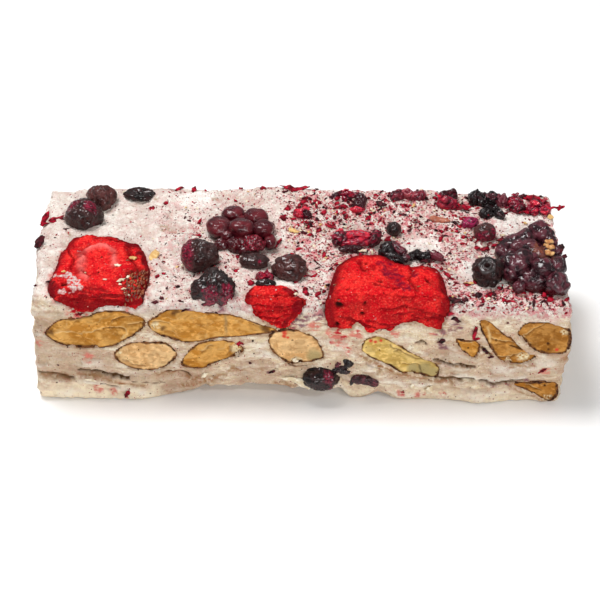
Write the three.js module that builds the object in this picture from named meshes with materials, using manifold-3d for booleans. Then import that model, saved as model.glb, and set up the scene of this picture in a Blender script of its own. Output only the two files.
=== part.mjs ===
// A bar of soft white nougat, sliced from a slab: whole roasted almonds show in its cut faces,
// and freeze-dried strawberries, brambles, blueberries and torn raspberries are pressed into its top.
// Millimetres, +Z up, +X along the bar, -Y the cut front. The origin is the middle of the flat underside.
import * as THREE from "three";
import { mergeVertices } from "three/addons/utils/BufferGeometryUtils.js";
import Module from "manifold-3d";

const barLength = 115;
const barWidth = 42;
const barHeight = 27; // at the front; the top crests toward the back
const edgeRadius = 1.1; // soft edge of the slab
const gap = 0.3; // between a piece and the pocket or neighbour that it is pressed into
const proud = 0.35; // how far a kernel's cut face stands out of the nougat, which shrinks back
const topUnevenness = 0.6; // half the height of the swells on the top
const faceUnevenness = 0.35; // the same on the sides and ends

const wasm = await Module();
wasm.setup();

const material = (color, roughness) => new THREE.MeshStandardMaterial({ color, roughness, metalness: 0 });
const nougatWhite = material(0xe6dcd2, 0.75);
const almondGold = material(0xc98f45, 0.6);
const strawberryRed = material(0xc8141a, 0.65);
const brambleWine = material(0x35101c, 0.3);
const blueberryNight = material(0x241a20, 0.4);
const raspberryCrimson = material(0x96142e, 0.5);
const almondSkin = material(0xa0563f, 0.6);

// ---- solids: three.js geometry to a manifold and back ----

// Vertices that one position shares become one vertex, which closes the seams of three.js geometry.
function closed(geometry) {
  geometry.deleteAttribute("normal");
  geometry.deleteAttribute("uv");
  return mergeVertices(geometry, 1e-4);
}

function solidOf(geometry, matrix = new THREE.Matrix4()) {
  const merged = geometry.clone().applyMatrix4(matrix);
  return new wasm.Manifold(
    new wasm.Mesh({
      numProp: 3,
      vertProperties: new Float32Array(merged.attributes.position.array),
      triVerts: new Uint32Array(merged.index.array),
    }),
  );
}

function geometryOf(solid) {
  const mesh = solid.getMesh();
  return new THREE.BufferGeometry()
    .setAttribute("position", new THREE.BufferAttribute(mesh.vertProperties, 3))
    .setIndex(new THREE.BufferAttribute(mesh.triVerts, 1));
}

// A cut can leave loose scraps: the largest body is the piece.
function largestOf(solid) {
  const bodies = solid.decompose();
  return bodies.reduce((most, body) => (body.volume() > most.volume() ? body : most));
}

// Moves each vertex of a geometry by a function of its place.
function shaped(geometry, move) {
  const position = geometry.attributes.position;
  const point = new THREE.Vector3();
  for (let i = 0; i < position.count; i++) {
    point.fromBufferAttribute(position, i);
    move(point);
    position.setXYZ(i, point.x, point.y, point.z);
  }
  return geometry;
}

const smooth = (value, from, to) => THREE.MathUtils.smoothstep(value, from, to);
const degrees = THREE.MathUtils.degToRad;

// ---- nougat: a box with soft edges, uneven faces, a proud foot and a torn lower front edge ----

const crestHeight = 1.5; // the top rises this far toward the back, most in the middle of the bar
const crestEnds = [23, 41]; // how far from the middle the crest sinks to less than half
const endReach = 6; // how far in from each end its bulge fades out
const bellyDepth = 1.5; // the right end bulges at mid height
const bellyHeight = 15.5;
const bellySpread = 6;
const leanDepth = 0.9; // the left end leans out along its top
const footDepth = 0.9; // the lowest layer stands out of the front along the left end and at rightFootAt
const footHeight = 6;
const leftFootTo = -28;
const rightFootAt = 40;
const rightFootReach = 6;
const tornHeight = 4; // the lower front edge is torn up between the feet
const tornDepth = 9;
const tornFrom = -31;
const tornTo = 12;
const nickHeight = 2.2; // a second, small tear
const nickAt = 17.8;
const nickReach = 2.4;

// Slow swells: three crossed sine waves 10 to 40 mm long, from -1 to 1.
function swell(x, y, z) {
  return (
    0.5 * Math.sin(x / 5.6 + y / 6.3 + z / 4.7) +
    0.3 * Math.sin(x / 3.1 - y / 3.7 + z / 3.3 + 1.3) +
    0.2 * Math.sin(x / 1.9 + y / 2.3 - z / 2.1 + 4.1)
  );
}

function crest(x, y) {
  return crestHeight * smooth(y, -4, barWidth / 2) * (1 - 0.6 * smooth(Math.abs(x + 2), ...crestEnds));
}

// Height of the nougat's top at a place, for what is pressed into it.
const topAt = (x, y) => barHeight + crest(x, y) + topUnevenness * swell(x, y, barHeight);

// How far the lower front edge is torn up: ragged waves along the wide tear, and the nick beside it.
function tornLift(x) {
  const tear = smooth(x, tornFrom, tornFrom + 14) * (1 - smooth(x, tornTo - 4, tornTo));
  const nick = Math.exp(-(((x - nickAt) / nickReach) ** 2));
  return tornHeight * tear * (0.88 + 0.12 * Math.sin(x / 2.1)) + nickHeight * nick;
}

const innerLow = new THREE.Vector3(-barLength / 2, -barWidth / 2, 0).addScalar(edgeRadius);
const innerHigh = new THREE.Vector3(barLength / 2, barWidth / 2, barHeight).addScalar(-edgeRadius);

// A point of the plain box goes onto the rounded box, then out or in by swell, crest, belly, foot and tear.
function moveNougat(point) {
  const inner = point.clone().clamp(innerLow, innerHigh);
  const outward = point.clone().sub(inner).normalize();
  point.copy(inner).addScaledVector(outward, edgeRadius);
  const { x, y, z } = point;
  const up = Math.max(outward.z, 0);
  const bulge = swell(x, y, z);
  point.x += outward.x * faceUnevenness * bulge;
  point.y += outward.y * faceUnevenness * bulge;
  point.z += up * topUnevenness * bulge + crest(x, y) * smooth(z, barHeight - 9, barHeight);
  const rightEnd = smooth(x, barLength / 2 - endReach, barLength / 2);
  const leftEnd = smooth(-x, barLength / 2 - endReach, barLength / 2);
  const belly = Math.exp(-(((z - bellyHeight) / bellySpread) ** 2));
  point.x += bellyDepth * belly * rightEnd;
  point.x -= leanDepth * smooth(z, 12, 24) * smooth(y, -12, 0) * leftEnd;
  const nearFront = smooth(-y, barWidth / 2 - tornDepth, barWidth / 2);
  const feet = smooth(leftFootTo - x, 0, 7) + Math.exp(-(((x - rightFootAt) / rightFootReach) ** 2));
  point.y -= footDepth * feet * nearFront * (1 - smooth(z, footHeight - 1, footHeight + 2));
  point.z += tornLift(x) * nearFront * (1 - z / barHeight);
}

// Rows of vertices: one on each edge, one where its rounding ends, and the rest evenly between.
function rowPlace(value, half, rows) {
  const row = Math.round((value / half) * (rows / 2));
  const last = rows / 2;
  return Math.abs(row) === last ? value : (row / (last - 1)) * (half - edgeRadius);
}

const alongRows = 28;
const acrossRows = 10;
const upRows = 8;

function nougatGeometry() {
  const box = new THREE.BoxGeometry(barLength, barWidth, barHeight, alongRows, acrossRows, upRows);
  return shaped(closed(box), (point) => {
    point.x = rowPlace(point.x, barLength / 2, alongRows);
    point.y = rowPlace(point.y, barWidth / 2, acrossRows);
    point.z = rowPlace(point.z, barHeight / 2, upRows) + barHeight / 2;
    moveNougat(point);
  });
}

// ---- pieces: each has a name, a finish, a shape that can be grown by the gap, and a place ----

const pieces = [];

// turn is [about X, about Y, about Z] in degrees, taken in that order.
function addPiece(name, finish, shape, place, turn = [0, 0, 0]) {
  const mesh = new THREE.Mesh(shape(0), finish);
  mesh.name = name;
  mesh.position.set(...place);
  mesh.rotation.set(...turn.map(degrees), "ZYX");
  mesh.updateMatrixWorld();
  pieces.push({ mesh, grown: solidOf(shape(gap), mesh.matrixWorld) });
}

// ---- almonds: half kernels, flat where the knife went through them ----

const almondSides = 10;
const almondDepth = 4.6;
const cutterReach = 3; // how far a pocket's cutter runs out past the cut face

// A dome behind the cut face, stretched to the kernel's outline and narrowed towards one tip.
// taper is how much narrower it grows to the right; blunt is where its right-hand tip was broken
// off, as a part of half its length.
function almondShape({ across, up, taper = 0.12, blunt = 1 }) {
  return (grow) => {
    const deep = almondDepth + grow;
    const out = grow > 0 ? cutterReach : proud;
    const outline = [[0, -out], [1, -out], [1, deep * 0.2], [0.72, deep * 0.78], [0, deep]];
    const profile = outline.map(([r, y]) => new THREE.Vector2(r, y));
    const lathe = new THREE.LatheGeometry(profile, almondSides);
    return shaped(closed(lathe).rotateY(Math.PI / 2), (point) => {
      point.z *= (up / 2 + grow) * (1 - taper * point.x * (1 + Math.max(point.x * Math.sign(taper), 0)));
      point.x = Math.min(point.x, blunt) * (across / 2 + grow);
    });
  };
}

// Faces that the knife made: the turn about Z that brings the front face to each, and its distance out.
const faces = {
  front: { turn: 0, half: barWidth / 2 },
  right: { turn: 90, half: barLength / 2 + 0.5 * bellyDepth },
  back: { turn: 180, half: barWidth / 2 },
  left: { turn: -90, half: barLength / 2 },
};
const upward = new THREE.Vector3(0, 0, 1);

// along is measured to the right as one looks at the face; rise is how far the right-hand tip is turned up.
function addAlmond(face, number, { along, z, rise = 0, ...shape }) {
  const { turn, half } = faces[face];
  const place = new THREE.Vector3(along, -half, z).applyAxisAngle(upward, degrees(turn));
  addPiece(`almond_${face}_${number}`, almondGold, almondShape(shape), place, [0, -rise, turn]);
}

const frontAlmonds = [
  { along: -44.4, z: 18.2, across: 21.6, up: 8.8, rise: 6, taper: 0.14 },
  { along: -19.6, z: 19.4, across: 26.6, up: 7.8, rise: -4, taper: 0.26 },
  { along: -33.8, z: 11.0, across: 14.2, up: 7.6, taper: -0.04 },
  { along: -19.0, z: 11.0, across: 14.0, up: 5.4, rise: 16, taper: -0.06 },
  { along: -0.4, z: 14.4, across: 12.6, up: 7.4, rise: -16, taper: -0.12 },
  { along: 22.4, z: 11.9, across: 19.4, up: 5.2, rise: -23, taper: 0.1 },
  { along: 36.7, z: 14.2, across: 6.0, up: 4.2, rise: -25, taper: 0.1 },
  { along: 44.8, z: 16.2, across: 15.6, up: 7.2, rise: -43, taper: -0.32 },
  { along: 53.4, z: 17.6, across: 14.0, up: 8.4, rise: -8, taper: -0.06, blunt: 0.8 },
  { along: 54.5, z: 3.2, across: 14.4, up: 4.4, rise: -10, taper: -0.3, blunt: 0.4 },
];
frontAlmonds.forEach((almond, i) => addAlmond("front", i + 1, almond));

// Behind and at the ends, kernels lie in two staggered rows, of uneven size and slant.
const upperRow = 18.6;
const lowerRow = 9.2;
function addAlmondRows(face, count, pitch) {
  for (let i = 0; i < count; i++) {
    const upper = i % 2 === 0;
    addAlmond(face, i + 1, {
      along: (i - (count - 1) / 2) * pitch + 1.5 * Math.sin(2.1 * i + pitch),
      z: (upper ? upperRow : lowerRow) + 1.2 * Math.cos(2.7 * i),
      across: (upper ? 20 : 15.5) + 3 * Math.sin(1.7 * i + 1),
      up: 7.6 + 0.9 * Math.sin(3.1 * i),
      rise: 16 * Math.sin(2.3 * i + 0.6),
      taper: 0.16 * Math.sin(1.9 * i + 1.4),
    });
  }
}
addAlmondRows("back", 8, 13);
addAlmondRows("left", 2, 15);
addAlmondRows("right", 2, 13);

// ---- strawberries: thick slices let into the top, cut through by the knife at the front ----

const strawberrySides = 20;

// A shallow dome on a rounder keel. lobes are [how many round the outline, how deep, where in degrees];
// hollow sinks the middle inside a raised ring.
function strawberryShape({ radius, above, below, hollow = 0, lobes }) {
  return (grow) => {
    const keel = [[0, -1], [0.72, -0.86], [0.95, -0.4]];
    const dome = [[1, 0.2], [0.9, 0.72], [0.62, 1], [0.3, 0.96], [0, 0.9]];
    const profile = [...keel, ...dome].map(([r, y]) => new THREE.Vector2(r, y));
    const lathe = new THREE.LatheGeometry(profile, strawberrySides);
    return shaped(closed(lathe).rotateX(Math.PI / 2), (point) => {
      const reach = Math.hypot(point.x, point.y);
      const angle = Math.atan2(point.y, point.x);
      const lobe = (sum, [count, deep, at]) => sum + deep * Math.cos(count * angle - degrees(at));
      const lobed = lobes.reduce(lobe, 1);
      const sunk = point.z > 0 ? hollow * (1 - smooth(reach, 0.25, 0.6)) : 0;
      point.x *= radius * lobed + grow;
      point.y *= radius * lobed + grow;
      point.z = point.z > 0 ? point.z * (above + grow) - sunk : point.z * (below + grow);
    });
  };
}

function addStrawberry(number, { x, y, ...shape }) {
  addPiece(`strawberry_${number}`, strawberryRed, strawberryShape(shape), [x, y, topAt(x, y)]);
}
const strawberries = [
  {
    x: -43.6, y: -10.4, radius: 11.8, above: 1.9, below: 3.4, hollow: 1,
    lobes: [[2, 0.1, -158], [4, 0.08, 157]],
  },
  {
    x: -4.8, y: -21.4, radius: 5.8, above: 1.1, below: 6.4,
    lobes: [[2, 0.22, 0], [4, 0.06, 180]],
  },
  {
    x: 18.6, y: -16, radius: 12.2, above: 2, below: 7.4,
    lobes: [[2, 0.13, -24], [3, 0.06, -42], [4, 0.06, 132]],
  },
];
strawberries.forEach((strawberry, i) => addStrawberry(i + 1, strawberry));

// ---- blueberries: dried, so flattened, puckered and dented round the crown ----

const blueberrySides = 10;
const blueberryRings = 6;

function blueberryShape({ rx, ry, rz, pucker = 0.05 }) {
  return (grow) => {
    const ball = closed(new THREE.SphereGeometry(1, blueberrySides, blueberryRings)).rotateX(Math.PI / 2);
    return shaped(ball, (point) => {
      const angle = Math.atan2(point.y, point.x);
      const height = point.z;
      const wrinkles = Math.sin(3 * angle + 2 * height) + Math.cos(5 * angle - 3 * height);
      const puckered = 1 + pucker * wrinkles;
      // The crown is a raised ring with a sunk middle.
      const crown = smooth(height, 0.8, 0.85) * (1 - 1.6 * smooth(height, 0.9, 1));
      point.multiplyScalar(puckered);
      point.x *= rx + grow;
      point.y *= ry + grow;
      point.z = point.z * (rz + grow) + 0.14 * rz * crown;
    });
  };
}

// lift is how far the berry's middle lies above the nougat; turn tips its crown.
function addBlueberry(number, { x, y, lift, turn, z = topAt(x, y) + lift, ...shape }) {
  addPiece(`blueberry_${number}`, blueberryNight, blueberryShape(shape), [x, y, z], turn);
}
const blueberries = [
  { x: -49.1, y: 8.9, lift: 1.4, rx: 4.3, ry: 4.3, rz: 2.9, turn: [-30, 30, 0] },
  { x: -45.9, y: 15.5, lift: 1.1, rx: 3.5, ry: 3.3, rz: 2.8, turn: [-20, 0, 0] },
  { x: -37.4, y: 17.4, lift: 0.7, rx: 4.1, ry: 2.5, rz: 1.4, turn: [0, 0, -4] },
  { x: -22.1, y: -7.1, lift: 1.6, rx: 4.2, ry: 4.2, rz: 3.1, turn: [30, 20, 0] },
  { x: -18.6, y: -16.6, lift: 0.9, rx: 4.4, ry: 4.4, rz: 3.3, turn: [40, -20, 0], pucker: 0.08 },
  { x: -10.3, y: -7.6, lift: 0.7, rx: 3.5, ry: 2.6, rz: 1.6, turn: [0, 0, -8] },
  { x: -1.9, y: -10.4, lift: 1.2, rx: 3.9, ry: 3.9, rz: 2.6, turn: [20, 15, 0] },
  { x: 20.8, y: 5.4, lift: 0.6, rx: 1.8, ry: 2.0, rz: 1.5, turn: [30, -20, 0] },
  { x: 41.1, y: 3.3, lift: 1.2, rx: 2.7, ry: 2.4, rz: 2.0, turn: [20, 20, 0] },
  { x: 40.4, y: -11.8, lift: 1.7, rx: 3.8, ry: 3.9, rz: 3.2, turn: [28, -8, 0] },
  { x: 4.6, y: -20.6, z: 6.3, rx: 4.2, ry: 2.8, rz: 3.2, turn: [60, 0, 0] },
];
blueberries.forEach((berry, i) => addBlueberry(i + 1, berry));

// ---- brambles: plump drupelets round a core, each at its own [x, y, z] from the berry's middle ----

const drupeletSides = 6;
const drupeletRings = 4;

function brambleShape({ rx, ry, rz, drupelet, drupelets }) {
  return (grow) => {
    const core = closed(new THREE.SphereGeometry(1, 10, 6)).rotateX(Math.PI / 2);
    let berry = solidOf(core.scale(rx - drupelet + grow, ry - drupelet + grow, rz - drupelet + grow));
    drupelets.forEach((middle, i) => {
      const size = drupelet * (0.95 + 0.1 * Math.sin(5 * i)) + grow;
      const ball = closed(new THREE.SphereGeometry(size, drupeletSides, drupeletRings)).rotateX(Math.PI / 2);
      berry = berry.add(solidOf(ball, new THREE.Matrix4().makeTranslation(...middle)));
    });
    return closed(geometryOf(berry));
  };
}

function addBramble(number, { x, y, ...shape }) {
  addPiece(`bramble_${number}`, brambleWine, brambleShape(shape), [x, y, topAt(x, y)]);
}
addBramble(1, {
  x: -13.8, y: 3.2, rx: 7.9, ry: 8.2, rz: 5.4, drupelet: 2.5,
  drupelets: [
    [-1.6, 5.5, 2.0], [3.6, 3.9, 2.2], [-5.0, 1.0, 1.9], [0.8, -2.4, 3.6], [0.4, 1.6, 2.6],
    [5.3, -0.6, 2.2], [3.8, -5.1, 1.7], [-1.4, -5.3, 1.6], [-4.7, -3.4, 1.0],
  ],
});
addBramble(2, {
  x: 50.7, y: -7.2, rx: 8.0, ry: 10.8, rz: 5.6, drupelet: 2.6,
  drupelets: [
    [2.4, 8.1, 2.2], [-1.7, 4.6, 3.0], [-5.5, 2.4, 1.5], [1.6, 2.6, 3.4], [-2.4, -0.4, 3.8],
    [5.1, 3.4, 1.9], [5.3, -1.6, 2.0], [1.4, -4.2, 3.6], [-3.6, -4.6, 2.8], [4.9, -6.4, 1.4],
    [-1.8, -7.9, 1.4], [2.0, -8.2, 0.8],
  ],
});

// ---- torn fruit: raspberry and cranberry shreds, berry skins and almond slivers as large as berries ----

const shredSides = 7;
const shredRings = 4;

// An angular lump: a flattened ball whose radius jumps from side to side.
function shredShape({ rx, ry, rz, rough = 0.16 }) {
  return (grow) => {
    const ball = closed(new THREE.SphereGeometry(1, shredSides, shredRings)).rotateX(Math.PI / 2);
    return shaped(ball, (point) => {
      const angle = Math.atan2(point.y, point.x);
      const broken = 1 + rough * Math.sin(3 * angle + 4 * point.z + rx) * Math.cos(2 * angle + ry);
      point.multiplyScalar(broken);
      point.set(point.x * (rx + grow), point.y * (ry + grow), point.z * (rz + grow));
    });
  };
}

function addShred(name, finish, { x, y, lift, turn, z = topAt(x, y) + lift, ...shape }) {
  addPiece(name, finish, shredShape(shape), [x, y, z], turn);
}
const shreds = {
  raspberry: [
    { x: 10.2, y: 17.4, lift: 0.5, rx: 3.6, ry: 1.6, rz: 1.0, turn: [0, 0, 5] },
    { x: 13.6, y: 14.6, lift: 0.9, rx: 2.0, ry: 2.6, rz: 1.3, turn: [0, 0, 8] },
    { x: 24.4, y: 17.8, lift: 0.8, rx: 3.6, ry: 1.8, rz: 1.3, turn: [0, 0, -6] },
    { x: 33.4, y: 16.2, lift: 1.0, rx: 2.3, ry: 2.7, rz: 1.8, turn: [0, 0, 20] },
    { x: 48.9, y: 15.6, lift: 0.9, rx: 2.1, ry: 2.5, rz: 1.6, turn: [0, 0, -30] },
    { x: 54.2, y: 14.4, lift: 0.9, rx: 2.4, ry: 2.3, rz: 1.5, turn: [0, 0, -25] },
    { x: 12.6, y: 0.6, lift: 0.8, rx: 5.6, ry: 2.0, rz: 1.4, turn: [0, 0, 2], rough: 0.22 },
    { x: 0.3, y: 9.8, lift: 0.5, rx: 1.9, ry: 1.7, rz: 1.2, turn: [0, 0, 0] },
    { x: 38.1, y: 8.0, lift: 0.4, rx: 1.8, ry: 1.5, rz: 0.8, turn: [0, 0, 40] },
    { x: -7.9, y: -12.6, lift: 0.5, rx: 1.8, ry: 1.4, rz: 1.0, turn: [0, 0, 0] },
  ],
  skin: [
    { x: 42.6, y: 17.0, lift: 1.1, rx: 3.9, ry: 2.2, rz: 1.8, turn: [0, 0, -4], rough: 0.2 },
    { x: 43.4, y: 11.9, lift: 0.6, rx: 2.5, ry: 1.8, rz: 1.3, turn: [0, 0, 10] },
    { x: 20.4, y: -5.4, lift: 1.9, rx: 2.9, ry: 3.0, rz: 2.0, turn: [0, 0, 30], rough: 0.22 },
    { x: 27.4, y: -4.6, lift: 1.0, rx: 3.4, ry: 1.3, rz: 1.1, turn: [0, 0, 14] },
    { x: -7.6, y: -16.2, lift: 1.2, rx: 2.4, ry: 1.2, rz: 1.0, turn: [0, 0, 0] },
    { x: 14.1, y: -20.8, z: 5.8, rx: 3.2, ry: 1.3, rz: 1.9, turn: [0, 12, 0] },
    { x: 9.8, y: -20.8, z: 9.8, rx: 2.4, ry: 1.1, rz: 1.6, turn: [0, -45, 0] },
  ],
};
shreds.raspberry.forEach((shred, i) => addShred(`raspberry_shred_${i + 1}`, raspberryCrimson, shred));
shreds.skin.forEach((shred, i) => addShred(`berry_skin_${i + 1}`, blueberryNight, shred));
const sliver = { x: 31.5, y: 9.6, lift: 0.3, rx: 2.5, ry: 1.1, rz: 0.7, turn: [0, 0, -14] };
addShred("almond_sliver", almondSkin, sliver);

// ---- crumbs: the largest flecks of raspberry stand up as part of the nougat's top ----

const crumbCount = 56;
const crumbMargin = 1.6; // from the top's edge
const crumbSmall = 0.55;
const crumbLarge = 1.15;

// Place i of an even scatter over the unit square: steps by the plastic number's powers.
const scatter = (i) => [(0.5 + 0.7548776662 * i) % 1, (0.5 + 0.5698402910 * i) % 1];
// A fixed random number from 0 to 1 for each i.
const draw = (i) => Math.abs((Math.sin(12.9898 * i + 4.1) * 43758.5453) % 1);

// Whether a crumb keeps off every piece that reaches the top.
function isClear(x, y, size) {
  return pieces.every(({ grown }) => {
    const { min, max } = grown.boundingBox();
    const beside = x < min[0] - size || x > max[0] + size || y < min[1] - size || y > max[1] + size;
    return beside || max[2] < barHeight - topUnevenness - size;
  });
}

// Crumbs are few at the left end and thick at the right, so the rest of the scatter is skipped.
function withCrumbs(nougat) {
  let dressed = nougat;
  for (let i = 0; i < crumbCount; i++) {
    const [u, v] = scatter(i);
    const x = (u - 0.5) * (barLength - 2 * crumbMargin);
    const y = (v - 0.5) * (barWidth - 2 * crumbMargin);
    const size = THREE.MathUtils.lerp(crumbSmall, crumbLarge, draw(i) ** 2);
    if (draw(i + 0.5) > 0.3 + 0.7 * u || !isClear(x, y, size)) continue;
    const crumb = closed(new THREE.OctahedronGeometry(size).scale(1.25, 0.8, 0.7));
    const place = new THREE.Matrix4().makeRotationZ(6 * draw(i + 0.25));
    dressed = dressed.add(solidOf(crumb, place.setPosition(x, y, topAt(x, y) + 0.15 * size)));
  }
  return dressed;
}

// ---- the bar: each piece keeps clear of the knife and of earlier pieces, and the nougat of them all ----

// The slab that the knife cut out, down to the board.
const cutLow = new THREE.Vector3(-barLength / 2 - proud, -barWidth / 2 - proud, 0.3);
const cutHigh = new THREE.Vector3(barLength / 2 + bellyDepth + proud, barWidth / 2 + proud, 2 * barHeight);
const slab = new THREE.BoxGeometry(...cutHigh.clone().sub(cutLow).toArray());
const slabMiddle = cutLow.clone().add(cutHigh).divideScalar(2);
const sliced = solidOf(closed(slab), new THREE.Matrix4().setPosition(slabMiddle));
const cutByKnife = (name) => /^(almond_(front|right|back|left)|strawberry)_/.test(name);

function boxesMeet(a, b) {
  const [p, q] = [a.boundingBox(), b.boundingBox()];
  return [0, 1, 2].every((axis) => p.min[axis] < q.max[axis] && q.min[axis] < p.max[axis]);
}

const bar = new THREE.Group();
let nougat = withCrumbs(solidOf(nougatGeometry()));
pieces.forEach(({ mesh, grown }, i) => {
  nougat = nougat.subtract(grown);
  let solid = solidOf(mesh.geometry, mesh.matrixWorld);
  const whole = solid.volume();
  if (cutByKnife(mesh.name)) solid = solid.intersect(sliced);
  for (const earlier of pieces.slice(0, i)) {
    if (boxesMeet(solid, earlier.grown)) solid = solid.subtract(earlier.grown);
  }
  const isCut = solid.volume() < whole - 1e-3;
  const toLocal = mesh.matrixWorld.clone().invert();
  if (isCut) mesh.geometry = closed(geometryOf(largestOf(solid))).applyMatrix4(toLocal);
  bar.add(mesh);
});
const nougatMesh = new THREE.Mesh(geometryOf(largestOf(nougat)), nougatWhite);
nougatMesh.name = "nougat";
bar.add(nougatMesh);

export default bar;
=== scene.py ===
"""Looks of a bar of soft nougat with almonds and dried fruit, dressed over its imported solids.

Sizes are written in millimetres and made metres by MM. +X runs along the bar, -Y is the cut front, +Z is up.
"""
import math

import bpy
import numpy as np
from mathutils import Matrix, Vector


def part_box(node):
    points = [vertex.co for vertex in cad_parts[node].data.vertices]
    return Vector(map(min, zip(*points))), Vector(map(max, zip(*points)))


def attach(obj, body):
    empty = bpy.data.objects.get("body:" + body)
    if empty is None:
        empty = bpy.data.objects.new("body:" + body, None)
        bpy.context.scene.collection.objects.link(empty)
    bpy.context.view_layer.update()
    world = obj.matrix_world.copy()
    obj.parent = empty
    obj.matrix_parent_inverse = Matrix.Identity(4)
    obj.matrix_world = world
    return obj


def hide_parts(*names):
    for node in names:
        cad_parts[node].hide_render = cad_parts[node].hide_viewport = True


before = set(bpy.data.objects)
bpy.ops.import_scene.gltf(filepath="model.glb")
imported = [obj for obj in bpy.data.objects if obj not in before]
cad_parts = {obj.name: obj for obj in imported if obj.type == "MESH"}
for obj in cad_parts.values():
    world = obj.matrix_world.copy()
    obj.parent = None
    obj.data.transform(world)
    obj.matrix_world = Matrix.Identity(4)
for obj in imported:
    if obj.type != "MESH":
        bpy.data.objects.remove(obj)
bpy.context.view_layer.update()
MM = 0.001

# ---- studio ----
# The bar lies on a white table under a wide overhead softbox, in a pale room. A long low box in front of
# it lights the cut face and puts the soft gleams on the berries. The camera looks down on the front.

camera_rise = math.radians(37.0)
camera_distance = 394.1 * MM
camera_aim = Vector((0, 0, 13.65 * MM))
camera_roll = math.radians(0.71)
frame_pixels = 600
aim_pixel = (300.38, 293.12)  # where the aim falls in the picture

camera_data = bpy.data.cameras.new("camera")
camera_data.sensor_width = 36.0
camera_data.lens = 103.9
camera_data.shift_x = (frame_pixels / 2 - aim_pixel[0]) / frame_pixels
camera_data.shift_y = (aim_pixel[1] - frame_pixels / 2) / frame_pixels
camera = bpy.data.objects.new("camera", camera_data)
toward_camera = Vector((0, -math.cos(camera_rise), math.sin(camera_rise)))
facing = Matrix.Rotation(math.pi / 2 - camera_rise, 4, "X") @ Matrix.Rotation(camera_roll, 4, "Z")
camera.matrix_world = Matrix.Translation(camera_aim + camera_distance * toward_camera) @ facing
bpy.context.scene.collection.objects.link(camera)
bpy.context.scene.camera = camera
bpy.context.scene.view_settings.view_transform = "Standard"


def softbox(name, place, width, height, power):
    """A rectangular light at a place in metres, turned towards the bar."""
    light = bpy.data.lights.new(name, "AREA")
    light.shape = "RECTANGLE"
    light.size, light.size_y = width, height
    light.energy = power
    lamp = bpy.data.objects.new(name, light)
    lamp.location = place
    lamp.rotation_euler = (camera_aim - Vector(place)).to_track_quat("-Z", "Y").to_euler()
    bpy.context.scene.collection.objects.link(lamp)


softbox("overhead_box", (-0.18, 0.10, 0.56), 0.26, 0.20, 3.05)
softbox("near_box", (0.20, -0.34, 0.46), 0.05, 0.05, 0.5)
softbox("front_box", (0.14, -0.60, 0.26), 0.40, 0.10, 1.35)

room = bpy.data.worlds.new("room")
room.use_nodes = True
room.node_tree.nodes["Background"].inputs["Color"].default_value = (1, 1, 1, 1)
room.node_tree.nodes["Background"].inputs["Strength"].default_value = 0.30
bpy.context.scene.world = room

table_material = bpy.data.materials.new("table_white")
table_material.use_nodes = True
table_shader = table_material.node_tree.nodes["Principled BSDF"]
table_shader.inputs["Base Color"].default_value = (0.97, 0.97, 0.97, 1)
table_shader.inputs["Roughness"].default_value = 0.9
table_mesh = bpy.data.meshes.new("table")
table_mesh.from_pydata([(-3, -3, 0), (3, -3, 0), (3, 3, 0), (-3, 3, 0)], [], [(0, 1, 2, 3)])
table_mesh.materials.append(table_material)
table = bpy.data.objects.new("table", table_mesh)
bpy.context.scene.collection.objects.link(table)

# ---- almonds ----
# Whole roasted kernels folded into the nougat, and halved where the knife came through. The cut flesh
# is firm and waxy, scored by the blade and split along its seams, with the brown skin as a thin line
# round it. A front kernel is its outline, as (x, z) points, and the marks on its cut, as (x, z, radius).

bar_length = 115
bar_width = 42
bar_height = 27
belly_depth = 1.5
kernel_proud = 0.35
knife_front = -(bar_width / 2 + kernel_proud)
inlay_steps = 60  # points round the outline of what is set into a cut face

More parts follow.
